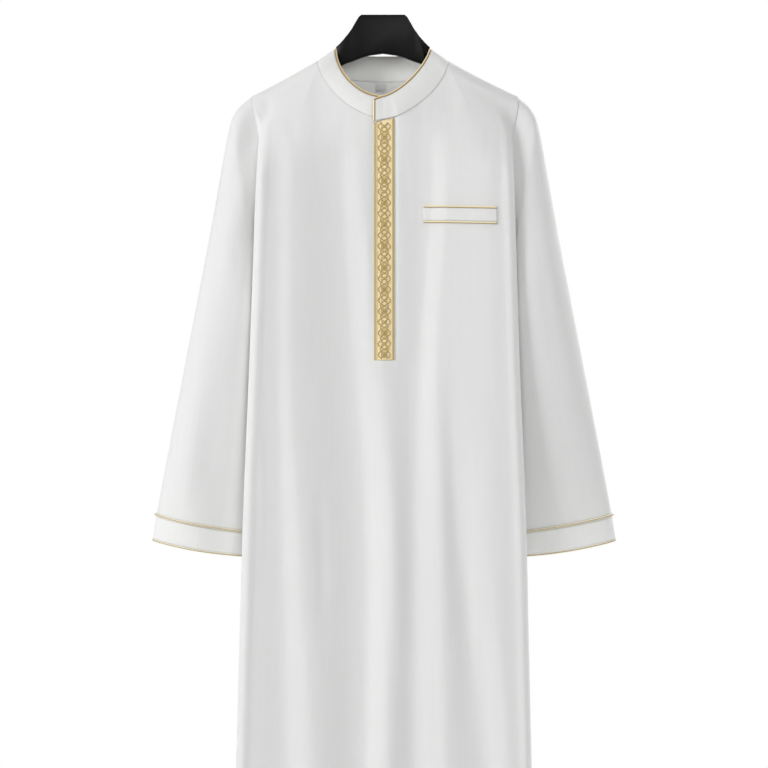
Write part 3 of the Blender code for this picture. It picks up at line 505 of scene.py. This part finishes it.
def mapped_grid(name, shape, across, down, size, finish, closed=False):
    """A sheet made from a flat grid: shape gives its points from u and v, both from 0 to 1."""
    mesh = bmesh.new()
    weave = mesh.loops.layers.uv.new("weave")
    bmesh.ops.create_grid(mesh, x_segments=across, y_segments=down, size=0.5)
    flat = np.array([vertex.co for vertex in mesh.verts])
    u, v = flat[:, 0] + 0.5, 0.5 - flat[:, 1]
    for face in mesh.faces:
        for loop in face.loops:
            place = flat[loop.vert.index]
            loop[weave].uv = ((place[0] + 0.5) * size[0], (place[1] + 0.5) * size[1])
    for vertex, point in zip(mesh.verts, shape(np.clip(u, 0, 1), np.clip(v, 0, 1))):
        vertex.co = point
    if closed:
        bmesh.ops.remove_doubles(mesh, verts=mesh.verts, dist=0.00002)
    return finished(name, mesh, finish)


def finished(name, mesh, finish):
    data = bpy.data.meshes.new(name)
    mesh.to_mesh(data)
    mesh.free()
    data.materials.append(finish)
    data.shade_smooth()
    piece = bpy.data.objects.new(name, data)
    bpy.context.scene.collection.objects.link(piece)
    return piece


def give_thickness(piece, thickness):
    solid = piece.modifiers.new("thickness", "SOLIDIFY")
    solid.thickness = thickness
    solid.offset = -1.0


def dress(piece, node):
    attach(piece, "root")
    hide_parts(node)


def tube_shape(path, out, radius, closed=False):
    """Points of a round piping along a path; out is the direction away from the cloth."""
    path, out = np.asarray(path), np.asarray(out)
    along = np.gradient(path, axis=0)
    if closed:
        along[0] = along[-1] = path[1] - path[-2]
    along = unit(along)
    side = unit(np.cross(along, out))
    out = np.cross(side, along)
    knots = np.linspace(0.0, 1.0, len(path))

    def shape(u, v):
        centre, a, b = (through(knots, values, v) for values in (path, out, side))
        turn = 2.0 * np.pi * u
        return centre + radius * (np.cos(turn)[:, None] * a + np.sin(turn)[:, None] * b)
    return shape


def length_of(path):
    return float(np.linalg.norm(np.diff(path, axis=0), axis=1).sum())


def piping(name, path, out, finish, closed=False, radius=PIPING_RADIUS):
    """A round piping along a path, its ends filled unless it is closed."""
    length = length_of(path)
    shape = tube_shape(path, out, radius, closed)
    down = max(8, int(length / PIPING_STEP))
    piece = mapped_grid(name, shape, 12, down, (1.0, length), finish, closed=True)
    if not closed:
        mesh = bmesh.new()
        mesh.from_mesh(piece.data)
        bmesh.ops.holes_fill(mesh, edges=[edge for edge in mesh.edges if edge.is_boundary])
        mesh.to_mesh(piece.data)
        mesh.free()
    return piece


# Materials

class Nodes:
    """Short names for building one material's nodes."""

    def __init__(self, name, roughness):
        self.material = bpy.data.materials.new(name)
        self.material.use_nodes = True
        self.tree = self.material.node_tree
        self.shader = self.tree.nodes["Principled BSDF"]
        self.shader.inputs["Roughness"].default_value = roughness

    def add(self, kind, **values):
        node = self.tree.nodes.new(kind)
        for key, value in values.items():
            setattr(node, key, value)
        return node

    def link(self, source, target):
        self.tree.links.new(source, target)

    def set(self, **values):
        for key, value in values.items():
            self.shader.inputs[key.replace("_", " ")].default_value = value

    def weave_coordinates(self, scale=(1.0, 1.0, 1.0)):
        uv = self.add("ShaderNodeUVMap", uv_map="weave")
        mapping = self.add("ShaderNodeMapping")
        mapping.inputs["Scale"].default_value = scale
        self.link(uv.outputs["UV"], mapping.inputs["Vector"])
        return mapping.outputs["Vector"]

    def object_coordinates(self):
        return self.add("ShaderNodeTexCoord").outputs["Object"]

    def noise(self, vector, scale, detail=2.0):
        node = self.add("ShaderNodeTexNoise")
        node.inputs["Scale"].default_value = scale
        node.inputs["Detail"].default_value = detail
        self.link(vector, node.inputs["Vector"])
        return node.outputs["Fac"]

    def wave(self, vector, scale, direction, distortion=0.0):
        node = self.add("ShaderNodeTexWave", bands_direction=direction)
        node.inputs["Scale"].default_value = scale
        node.inputs["Distortion"].default_value = distortion
        self.link(vector, node.inputs["Vector"])
        return node.outputs["Fac"]

    def ramp(self, factor, stops):
        node = self.add("ShaderNodeValToRGB")
        elements = node.color_ramp.elements
        for place, colour in stops[2:]:
            elements.new(place)
        for element, (place, colour) in zip(elements, sorted(stops)):
            element.position = place
            element.color = (*colour, 1.0)
        self.link(factor, node.inputs["Fac"])
        return node.outputs["Color"]

    def math(self, operation, first, second):
        node = self.add("ShaderNodeMath", operation=operation)
        for socket, value in zip(node.inputs, (first, second)):
            if isinstance(value, (int, float)):
                socket.default_value = value
            else:
                self.link(value, socket)
        return node.outputs["Value"]

    def relief(self, height, distance, strength=1.0, under=None):
        node = self.add("ShaderNodeBump")
        node.inputs["Distance"].default_value = distance
        node.inputs["Strength"].default_value = strength
        self.link(height, node.inputs["Height"])
        if under is not None:
            self.link(under, node.inputs["Normal"])
        return node.outputs["Normal"]


def cloth_material():
    """Fine matt plain weave with slubs along the warp and a soft irregular hand."""
    made = Nodes("white cloth", 0.85)
    threads = made.weave_coordinates()
    warp = made.wave(threads, 620.0, "X")
    weft = made.wave(threads, 560.0, "Y")
    slubs = made.noise(made.weave_coordinates((260.0, 14.0, 1.0)), 1.0, 3.0)
    hand = made.noise(made.object_coordinates(), 9.0, 3.0)
    tone = made.math("ADD", made.math("MULTIPLY", slubs, 0.6), made.math("MULTIPLY", hand, 0.4))
    stops = [(0.25, (0.785, 0.789, 0.776)), (0.75, (0.822, 0.825, 0.811))]
    made.link(made.ramp(tone, stops), made.shader.inputs["Base Color"])
    soft = made.relief(hand, 0.0012, 0.35)
    slubbed = made.relief(slubs, 0.00012, 0.5, under=soft)
    woven = made.relief(made.math("MULTIPLY", warp, weft), 0.00008, 0.45, under=slubbed)
    made.link(woven, made.shader.inputs["Normal"])
    made.set(Sheen_Weight=0.12, Sheen_Roughness=0.5, Specular_IOR_Level=0.2)
    made.set(Subsurface_Weight=0.65, Subsurface_Radius=(1.0, 0.98, 0.95), Subsurface_Scale=0.004)
    return made.material


def label_material():
    """Bright satin tape with fine ribs."""
    made = Nodes("label tape", 0.35)
    ribs = made.wave(made.weave_coordinates(), 900.0, "Y", 0.3)
    stops = [(0.1, (0.90, 0.90, 0.88)), (0.9, (0.97, 0.97, 0.96))]
    made.link(made.ramp(ribs, stops), made.shader.inputs["Base Color"])
    made.link(made.relief(ribs, 0.0001, 0.5), made.shader.inputs["Normal"])
    made.set(Sheen_Weight=0.2, Subsurface_Weight=1.0)
    made.set(Subsurface_Radius=(1.0, 1.0, 1.0), Subsurface_Scale=0.0006)
    return made.material


def piping_material(name, stops):
    """Satin piping coloured round the tube from the given stops, with a fine twist; for the collar and
    welt the stops paint shade by the seam and a highlight on the far side.
    """
    made = Nodes(name, 0.42)
    around = made.weave_coordinates()
    twist = made.weave_coordinates((3.0, 900.0, 1.0))
    threads = made.wave(twist, 0.35, "DIAGONAL", 0.6)
    split = made.add("ShaderNodeSeparateXYZ")
    made.link(around, split.inputs["Vector"])
    # Colour read round the tube from the seam: for the collar and welt pipings this paints the
    # underside as shade and the far side as a cream highlight
    from_seam = made.math("ABSOLUTE", made.math("SUBTRACT", split.outputs["X"], 0.5), 0.0)
    colour = made.ramp(from_seam, stops)
    shade = made.ramp(threads, [(0.0, (0.78, 0.78, 0.78)), (0.8, (1.0, 1.0, 1.0))])
    mix = made.add("ShaderNodeMix", data_type="RGBA", blend_type="MULTIPLY")
    mix.inputs["Factor"].default_value = 1.0
    made.link(colour, mix.inputs["A"])
    made.link(shade, mix.inputs["B"])
    made.link(mix.outputs["Result"], made.shader.inputs["Base Color"])
    made.link(made.relief(threads, 0.0002, 0.6), made.shader.inputs["Normal"])
    made.set(Sheen_Weight=0.1)
    return made.material


def band_ground_material():
    """Pale gold satin ground of the woven band, with fine weft ribs."""
    made = Nodes("band ground", 0.48)
    threads = made.weave_coordinates()
    ribs = made.wave(threads, 480.0, "Y", 0.4)
    flecks = made.noise(made.weave_coordinates((420.0, 160.0, 1.0)), 1.0, 3.0)
    stops = [(0.30, (0.76, 0.57, 0.26)), (0.48, (0.90, 0.75, 0.44)), (0.70, (0.97, 0.87, 0.62))]
    made.link(made.ramp(flecks, stops), made.shader.inputs["Base Color"])
    fine = made.relief(flecks, 0.0002, 0.5)
    made.link(made.relief(ribs, 0.0002, 0.5, under=fine), made.shader.inputs["Normal"])
    made.set(Sheen_Weight=0.15)
    return made.material


def thread_material(name, dark, light):
    """Metal-wrapped thread with a fine twist."""
    made = Nodes(name, 0.38)
    twist = made.weave_coordinates((2.0, 1400.0, 1.0))
    threads = made.wave(twist, 0.32, "DIAGONAL", 0.8)
    made.link(made.ramp(threads, [(0.1, dark), (0.9, light)]), made.shader.inputs["Base Color"])
    made.link(made.relief(threads, 0.00015, 0.7), made.shader.inputs["Normal"])
    made.set(Metallic=0.25)
    return made.material


def hanger_material():
    """Black moulded plastic, satin, with a fine mould texture and faint handling wear."""
    made = Nodes("black hanger plastic", 0.36)
    place = made.object_coordinates()
    grain = made.noise(place, 900.0, 2.0)
    wear = made.noise(place, 38.0, 4.0)
    stops = [(0.35, (0.003, 0.003, 0.003)), (0.75, (0.006, 0.006, 0.006))]
    made.link(made.ramp(wear, stops), made.shader.inputs["Base Color"])
    made.set(Specular_IOR_Level=0.14)
    rough = made.add("ShaderNodeMapRange")
    rough.inputs["To Min"].default_value = 0.32
    rough.inputs["To Max"].default_value = 0.46
    made.link(wear, rough.inputs["Value"])
    made.link(rough.outputs["Result"], made.shader.inputs["Roughness"])
    made.link(made.relief(grain, 0.00006, 0.4), made.shader.inputs["Normal"])
    return made.material


def floor_material():
    made = Nodes("studio floor", 0.7)
    speck = made.noise(made.object_coordinates(), 30.0, 3.0)
    stops = [(0.3, (0.80, 0.80, 0.80)), (0.7, (0.84, 0.84, 0.84))]
    made.link(made.ramp(speck, stops), made.shader.inputs["Base Color"])
    return made.material


# Pieces

def build_panels(finish):
    """The front and back panels; gives the front's skin, for what lies on it."""
    panels = {}
    for face, across, down in (("front", 220, 196), ("back", 200, 190)):
        def shape(u, v, face=face):
            side = 2.0 * u - 1.0
            return panel_points(side if face == "front" else -side, v, face)
        size = (0.56, ROBE_LENGTH)
        panels[face] = mapped_grid(f"{face}_panel", shape, across, down, size, finish)
        dress(panels[face], face)
    skin = skin_of(panels["front"])
    for piece in panels.values():
        give_thickness(piece, CLOTH)
    return skin


def skin_of(piece):
    places = [vertex.co.copy() for vertex in piece.data.vertices]
    return BVHTree.FromPolygons(places, [tuple(face.vertices) for face in piece.data.polygons])


def build_sleeves(finish, gold):
    sides = ((1, "right", RIGHT_SLEEVE_CREASES), (-1, "left", LEFT_SLEEVE_CREASES))
    for side, name, creases in sides:
        def turn_of(u, side=side):
            return 1.0 - u if side > 0 else u

        def sleeve(u, v, side=side, creases=creases):
            return sleeve_points(v * (CUFF_START + TUCK) - TUCK, turn_of(u), side, creases)

        def cuff(u, v, side=side, creases=creases):
            start = CUFF_START + 0.0008
            return sleeve_points(start + v * (1.0 - start), turn_of(u), side, creases)

        piece = mapped_grid(
            f"sleeve_{name}_cloth", sleeve, 108, 150, (0.42, 0.62), finish, closed=True)
        give_thickness(piece, CLOTH)
        dress(piece, f"sleeve_{name}")
        piece = mapped_grid(f"cuff_{name}_cloth", cuff, 108, 12, (0.31, 0.04), finish, closed=True)
        give_thickness(piece, DOUBLED_CLOTH)
        dress(piece, f"cuff_{name}")
        build_cuff_pipings(name, side, creases, gold)


def build_cuff_pipings(name, side, creases, gold):
    turn = np.linspace(0.0, 1.0, 121)
    for where, place in (("top", CUFF_START), ("foot", 1.0)):
        ring = sleeve_points(np.full_like(turn, place), turn, side, creases)
        before = sleeve_points(np.full_like(turn, place - 0.01), turn, side, creases)
        down = unit(ring - before)
        around = np.gradient(ring, axis=0)
        around[0] = around[-1] = ring[1] - ring[-2]
        out = unit(np.cross(around, down)) * side
        if where == "top":
            path = ring + out * (PIPING_RADIUS + GAP)
        else:
            path = ring + down * (PIPING_RADIUS + GAP) - out * 0.5 * DOUBLED_CLOTH
        away = -down
        path[-1], away[-1] = path[0], away[0]
        piece = piping(f"piping_{name}_{where}", path, away, gold, closed=True)
        dress(piece, f"piping_cuff_{name}_{where}")


def collar_stretches():
    """Angles round the collar, from the end below the lap round to the lap, with their faces."""
    quarter = 0.5 * math.pi
    return (
        (np.linspace(0.5 * quarter / 9.0, 0.0, 5), "front"),
        (np.linspace(0.0, -quarter, 46)[1:], "front"),
        (np.linspace(-quarter, quarter, 91)[1:-1], "back"),
        (np.linspace(quarter, 0.0, 46), "front"),
    )


def collar_angles():
    """Angles along the collar's edges, the lap's end with them, and which are behind the neck."""
    stretches = collar_stretches() + ((np.zeros(LAP_POINTS), "front"),)
    far = np.concatenate([np.full(len(angles), face == "back") for angles, face in stretches])
    return np.concatenate([angles for angles, face in stretches]), far


def collar_edges():
    """The collar's top edge and foot, from the end below the lap round to the lap's own end."""
    top = np.concatenate([collar_top(angles, face) for angles, face in collar_stretches()])
    foot = np.concatenate([neckline(angles, face) for angles, face in collar_stretches()])
    along = np.linspace(0.0, 1.0, LAP_POINTS + 1)[1:, None]
    top = np.vstack([top, top[-1] + along * LAP_TOP_END])
    foot = np.vstack([foot, foot[-1] + along * LAP_FOOT_END])
    return top, foot


def collar_surface():
    """Points of the collar as a grid of rows from its top edge down to the neckline."""
    top, foot = collar_edges()
    place = (np.arange(len(top))[::-1] - LAP_POINTS) / 5.0
    lift = COLLAR_LAP * (1.0 - smooth(place / 4.6))
    rows = []
    angle, far = collar_angles()
    tucked = (np.where(far, 0.0, bump((angle + 0.85) / 0.75)) * COLLAR_TUCK)[:, None]
    for share in np.linspace(0.0, 1.0, COLLAR_ROWS):
        row = top + share * (foot + (SEAM - tucked) * unit(top - foot) - top)
        row[:, 1] += np.where(far, 1.0, -1.0) * COLLAR_SWELL * math.sin(math.pi * share)
        row[:, 1] -= lift
        row[:, 1] += 0.25 * tucked[:, 0] * share**6
        rows.append(row)
    return np.array(rows)


def surface_shape(grid):
    """Reads a grid of points smoothly, u along its columns and v down its rows."""
    rows, columns = grid.shape[:2]
    across, down = np.linspace(0.0, 1.0, columns), np.linspace(0.0, 1.0, rows)

    def shape(u, v):
        i = np.clip((v * (rows - 1)).astype(int), 0, rows - 2)
        j = np.clip((u * (columns - 1)).astype(int), 0, columns - 2)
        a, b = (v * (rows - 1) - i)[:, None], (u * (columns - 1) - j)[:, None]
        upper = grid[i, j] * (1 - b) + grid[i, j + 1] * b
        lower = grid[i + 1, j] * (1 - b) + grid[i + 1, j + 1] * b
        return upper * (1 - a) + lower * a
    return shape


def build_collar(finish, gold):
    surface = collar_surface()[:, ::-1]
    rows, columns = surface.shape[:2]
    piece = mapped_grid(
        "collar_cloth", surface_shape(surface), columns - 1, rows - 1, (0.42, 0.04), finish)
    give_thickness(piece, DOUBLED_CLOTH)
    dress(piece, "collar")
    across = unit(np.gradient(surface, axis=1))
    upwards = -unit(np.gradient(surface, axis=0))
    out = unit(np.cross(across, upwards))
    middle = surface - 0.5 * DOUBLED_CLOTH * out
    stand_off = PIPING_RADIUS + GAP
    end_out = -across[:, 0]
    rise = unit(upwards[0] - across[0] * (upwards[0] * across[0]).sum(axis=1, keepdims=True))
    angle, far = collar_angles()
    behind = np.where(far, 1.0 - np.abs(angle) / (0.5 * np.pi), 0.0)[::-1, None]
    rolled = 2.0 * smooth(behind / 0.5)
    outwards = np.minimum(rolled, 1.0) * (stand_off + 0.5 * DOUBLED_CLOTH)
    upward = stand_off - np.maximum(rolled - 1.0, 0.0) * (stand_off + PIPING_RADIUS)
    top = middle[0] + rise * upward + out[0] * outwards
    corner = top[0] + end_out[0] * stand_off
    end = middle[:, 0] + end_out * stand_off
    path = np.vstack([end[::-1], corner[None], top[:-3]])
    facing = unit(rise * (1.0 - 0.5 * rolled) + out[0] * np.minimum(rolled, 1.0))
    away = np.vstack([end_out[::-1], unit(end_out[0] + rise[0])[None], facing[:-3]])
    path, away = resampled(path, path, 260), resampled(away, path, 260)
    piece = piping("piping_collar_edge", path, away, gold, radius=COLLAR_PIPING)
    dress(piece, "piping_collar")


def resampled(values, path, count):
    """Values at the points of a path, read at evenly spaced places along it."""
    along = np.concatenate([[0.0], np.cumsum(np.linalg.norm(np.diff(path, axis=0), axis=1))])
    want = np.linspace(0.0, along[-1], count)
    return np.column_stack([np.interp(want, along, values[:, k]) for k in range(3)])


def on_front(skin, x, z, out):
    """The point a distance out from the front panel's cloth."""
    hit = skin.ray_cast(Vector((x, -1.0, z)), Vector((0.0, 1.0, 0.0)))[0]
    return np.array([x, hit.y - out, z])


def front_strip(skin, left, right, heights, out):
    """Points on the front panel from u and v, out from the cloth; heights are the four corners'."""
    top_left, top_right, foot_left, foot_right = heights

    def shape(u, v):
        x = left + u * (right - left)
        top = top_left + u * (top_right - top_left)
        foot = foot_left + u * (foot_right - foot_left)
        return np.array([on_front(skin, a, b, out) for a, b in zip(x, top + v * (foot - top))])
    return shape


def build_placket(skin, ground, gold, thread):
    corners = (PLACKET_LEFT_TOP, PLACKET_RIGHT_TOP, PLACKET_FOOT, PLACKET_FOOT)
    out = 0.5 * GAP + PLACKET_THICKNESS
    shape = front_strip(skin, PLACKET_LEFT, PLACKET_RIGHT, corners, out)
    size = (PLACKET_RIGHT - PLACKET_LEFT, PLACKET_RIGHT_TOP - PLACKET_FOOT)
    band = mapped_grid("placket_band", shape, 16, 150, size, ground)
    give_thickness(band, PLACKET_THICKNESS)
    dress(band, "placket")
    middle_x = 0.5 * (PLACKET_LEFT + PLACKET_RIGHT)

    def lay(points):
        return np.array([
            on_front(skin, middle_x + x, PLACKET_FOOT + up, out + THREAD_RADIUS * 0.4 + lift)
            for x, up, lift in points
        ])

    lines = band_lines()
    for name, paths, radius, finish in (
        ("band_strands", lines["strands"], THREAD_RADIUS, thread),
        ("band_motifs", lines["motifs"], 0.8 * THREAD_RADIUS, thread),
        ("band_rails", lines["rails"], 1.25 * THREAD_RADIUS, gold),
        ("band_edges", lines["edges"], 1.1 * THREAD_RADIUS, thread),
    ):
        piece = threads(name, [lay(path) for path in paths], radius, finish)
        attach(piece, "root")


def band_lines():
    """Lines of the woven band, as points of place across, height above its foot and rise."""
    half = 0.5 * (PLACKET_RIGHT - PLACKET_LEFT)
    slope = (PLACKET_RIGHT_TOP - PLACKET_LEFT_TOP) / (2.0 * half)
    middle_top = 0.5 * (PLACKET_LEFT_TOP + PLACKET_RIGHT_TOP) - PLACKET_FOOT - 0.0012

    def upright(x):
        up = np.linspace(0.001, middle_top + slope * x, 300)
        return np.column_stack([np.full_like(up, x), up, 0 * up])

    up = np.linspace(0.002, middle_top - 0.0024, 420)
    strands = []
    for reach, shift in ((STRAND_REACH, 0.0), (INNER_STRAND_REACH, 0.5)):
        phase = np.pi * (up / BAND_STEP + shift)
        for sign in (1.0, -1.0):
            lift = STRAND_LIFT * sign * np.cos(phase)
            strands.append(np.column_stack([sign * reach * np.sin(phase), up, lift]))
    motifs = []
    turn = np.linspace(0.0, 2.0 * np.pi, 17)
    for k in range(int(middle_top / BAND_STEP)):
        middle = (k + 0.5) * BAND_STEP
        if k % 2 == 0:
            up = middle + RING_REACH * np.cos(turn)
            motifs.append(np.column_stack([RING_REACH * np.sin(turn), up, 0 * turn]))
            reach = DIAMOND_REACH
            motifs.append(np.array([(-reach, middle, 0), (0, middle - reach, 0), (reach, middle, 0),
                                    (0, middle + reach, 0), (-reach, middle, 0)]))
        else:
            reach = LINE_REACH - 0.5 * LINE_SHIFT
            for up in (middle - LINE_SHIFT, middle + LINE_SHIFT):
                motifs.append(np.array([(-reach, up, 0), (0, up, 0), (reach, up, 0)]))
    return {
        "strands": strands, "motifs": motifs,
        "rails": [upright(x) for x in (-half + RAIL_INSET, half - RAIL_INSET)],
        "edges": [upright(x) for x in (-half + EDGE_INSET, half - EDGE_INSET)],
    }


def threads(name, paths, radius, finish):
    """Many raised threads in one piece."""
    mesh = bmesh.new()
    for number, path in enumerate(paths):
        out = np.tile([0.0, -1.0, 0.0], (len(path), 1))
        if len(path) > LONG_THREAD:
            part = piping(f"{name}_{number}", path, out, finish, radius=radius)
        else:
            part = short_thread(f"{name}_{number}", path, out, radius, finish)
        mesh.from_mesh(part.data)
        bpy.data.objects.remove(part)
    return finished(name, mesh, finish)


def short_thread(name, path, out, radius, finish):
    length = length_of(path)
    closed = bool(np.linalg.norm(path[0] - path[-1]) < 1e-6)
    shape = tube_shape(path, out, radius, closed)
    down = max(4, int(length / THREAD_STEP))
    return mapped_grid(name, shape, 6, down, (1.0, length), finish, closed=True)


def build_welt(skin, finish, gold):
    half = 0.5 * WELT_HEIGHT
    corners = (WELT_LEFT_Z + half, WELT_RIGHT_Z + half, WELT_LEFT_Z - half, WELT_RIGHT_Z - half)
    shape = front_strip(skin, WELT_LEFT, WELT_RIGHT, corners, 0.5 * GAP + WELT_THICKNESS)
    size = (WELT_RIGHT - WELT_LEFT, WELT_HEIGHT)
    welt = mapped_grid("welt_cloth", shape, 54, 10, size, finish)
    give_thickness(welt, WELT_THICKNESS)
    dress(welt, "pocket_welt")
    stand_off = PIPING_RADIUS + GAP
    for name, height in (("top", half + stand_off), ("foot", -half - stand_off)):
        xs = np.linspace(WELT_LEFT, WELT_RIGHT, 60)
        zs = np.interp(xs, [WELT_LEFT, WELT_RIGHT], [WELT_LEFT_Z, WELT_RIGHT_Z]) + height
        path = np.array([on_front(skin, x, z, PIPING_RADIUS * 0.8) for x, z in zip(xs, zs)])
        out = unit(np.tile([0.0, -0.5, 0.86], (len(path), 1)))
        piece = piping(f"piping_welt_{name}_edge", path, out, gold)
        dress(piece, f"piping_welt_{name}")


def build_label(finish):
    """The bare neck label: a small folded tab of satin tape below the back seam."""
    low, high = (Vector(corner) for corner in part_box("label"))
    mesh = bmesh.new()
    weave = mesh.loops.layers.uv.new("weave")
    bmesh.ops.create_cube(mesh, size=1.0)
    bmesh.ops.scale(mesh, vec=high - low, verts=mesh.verts)
    bmesh.ops.translate(mesh, vec=(low + high) / 2, verts=mesh.verts)
    bmesh.ops.bevel(mesh, geom=mesh.edges[:], offset=0.0003, segments=2, profile=0.5,
                    affect="EDGES", material=-1)
    for face in mesh.faces:
        for loop in face.loops:
            loop[weave].uv = (loop.vert.co.x, loop.vert.co.z)
    dress(finished("label_tape", mesh, finish), "label")


def build_hanger(finish):
    """The solid's own hanger with rounded edges, filled out to the collar where it meets it."""
    solid = bpy.data.objects["hanger"]
    mesh = bmesh.new()
    mesh.from_mesh(solid.data)
    mesh.transform(solid.matrix_world)
    bmesh.ops.remove_doubles(mesh, verts=mesh.verts, dist=0.00001)
    bmesh.ops.dissolve_limit(mesh, angle_limit=0.02, verts=mesh.verts, edges=mesh.edges)
    corners = [
        edge for edge in mesh.edges if edge.is_manifold and edge.calc_face_angle() > HANGER_CORNER
    ]
    bmesh.ops.bevel(mesh, geom=corners, offset=HANGER_ROUND, segments=3, profile=0.5,
                    affect="EDGES", clamp_overlap=True)
    for vertex in mesh.verts:
        filled = bump((vertex.co.z - HANGER_FILL_Z) / HANGER_FILL_RUN)
        filled *= smooth((abs(vertex.co.x) - 0.03) / 0.02)
        vertex.co.x += math.copysign(HANGER_FILL * filled, vertex.co.x)
        vertex.co.z -= HANGER_DROP * filled
    dress(finished("hanger_body", mesh, finish), "hanger")


# Stage

def build_camera():
    data = bpy.data.cameras.new("camera")
    data.sensor_width = SENSOR
    data.lens = SENSOR * CAMERA_DISTANCE / (IMAGE_PIXELS * PIXEL)
    camera = bpy.data.objects.new("camera", data)
    camera.location = (CAMERA_X, -CAMERA_DISTANCE, CAMERA_Z)
    camera.rotation_euler = (math.radians(90.0), 0.0, 0.0)
    bpy.context.scene.collection.objects.link(camera)
    bpy.context.scene.camera = camera


def build_light():
    scene = bpy.context.scene
    scene.view_settings.view_transform = "Standard"
    world = bpy.data.worlds.new("studio")
    world.use_nodes = True
    tree = world.node_tree
    background = tree.nodes["Background"]
    background.inputs["Color"].default_value = (1.0, 1.0, 1.0, 1.0)
    ray = tree.nodes.new("ShaderNodeLightPath")
    strength = tree.nodes.new("ShaderNodeMapRange")
    strength.inputs["To Min"].default_value = AMBIENT
    strength.inputs["To Max"].default_value = 1.0
    tree.links.new(ray.outputs["Is Camera Ray"], strength.inputs["Value"])
    tree.links.new(strength.outputs["Result"], background.inputs["Strength"])
    scene.world = world
    for name, place, size, watts in LAMPS:
        data = bpy.data.lights.new(name, "AREA")
        data.shape = "DISK"
        data.size = size
        data.energy = watts
        lamp = bpy.data.objects.new(name, data)
        lamp.location = place
        aim = Vector(LAMP_AIM) - Vector(place)
        lamp.rotation_euler = aim.to_track_quat("-Z", "Y").to_euler()
        scene.collection.objects.link(lamp)


def build_floor(finish):
    mesh = bmesh.new()
    bmesh.ops.create_grid(mesh, x_segments=2, y_segments=2, size=FLOOR_REACH)
    bmesh.ops.translate(mesh, vec=(0.0, 0.0, FLOOR_Z), verts=mesh.verts)
    floor = finished("floor", mesh, finish)


def main():
    build_camera()
    build_light()
    build_floor(floor_material())
    cloth = cloth_material()
    # The gold piping's colour ramp paints shade on its seam side and a highlight on its far side
    gold = piping_material("gold piping", PIPING_SHADE_AND_HIGHLIGHT_STOPS)
    corded = piping_material("corded gold piping", CUFF_PIPING_STOPS)
    skin = build_panels(cloth)
    build_sleeves(cloth, corded)
    build_collar(cloth, gold)
    thread = thread_material("olive gold thread", (0.36, 0.25, 0.075), (0.64, 0.48, 0.20))
    pale = thread_material("pale gold thread", (0.62, 0.48, 0.22), (0.90, 0.78, 0.50))
    build_placket(skin, band_ground_material(), pale, thread)
    build_welt(skin, cloth, gold)
    build_label(label_material())
    build_hanger(hanger_material())


main()
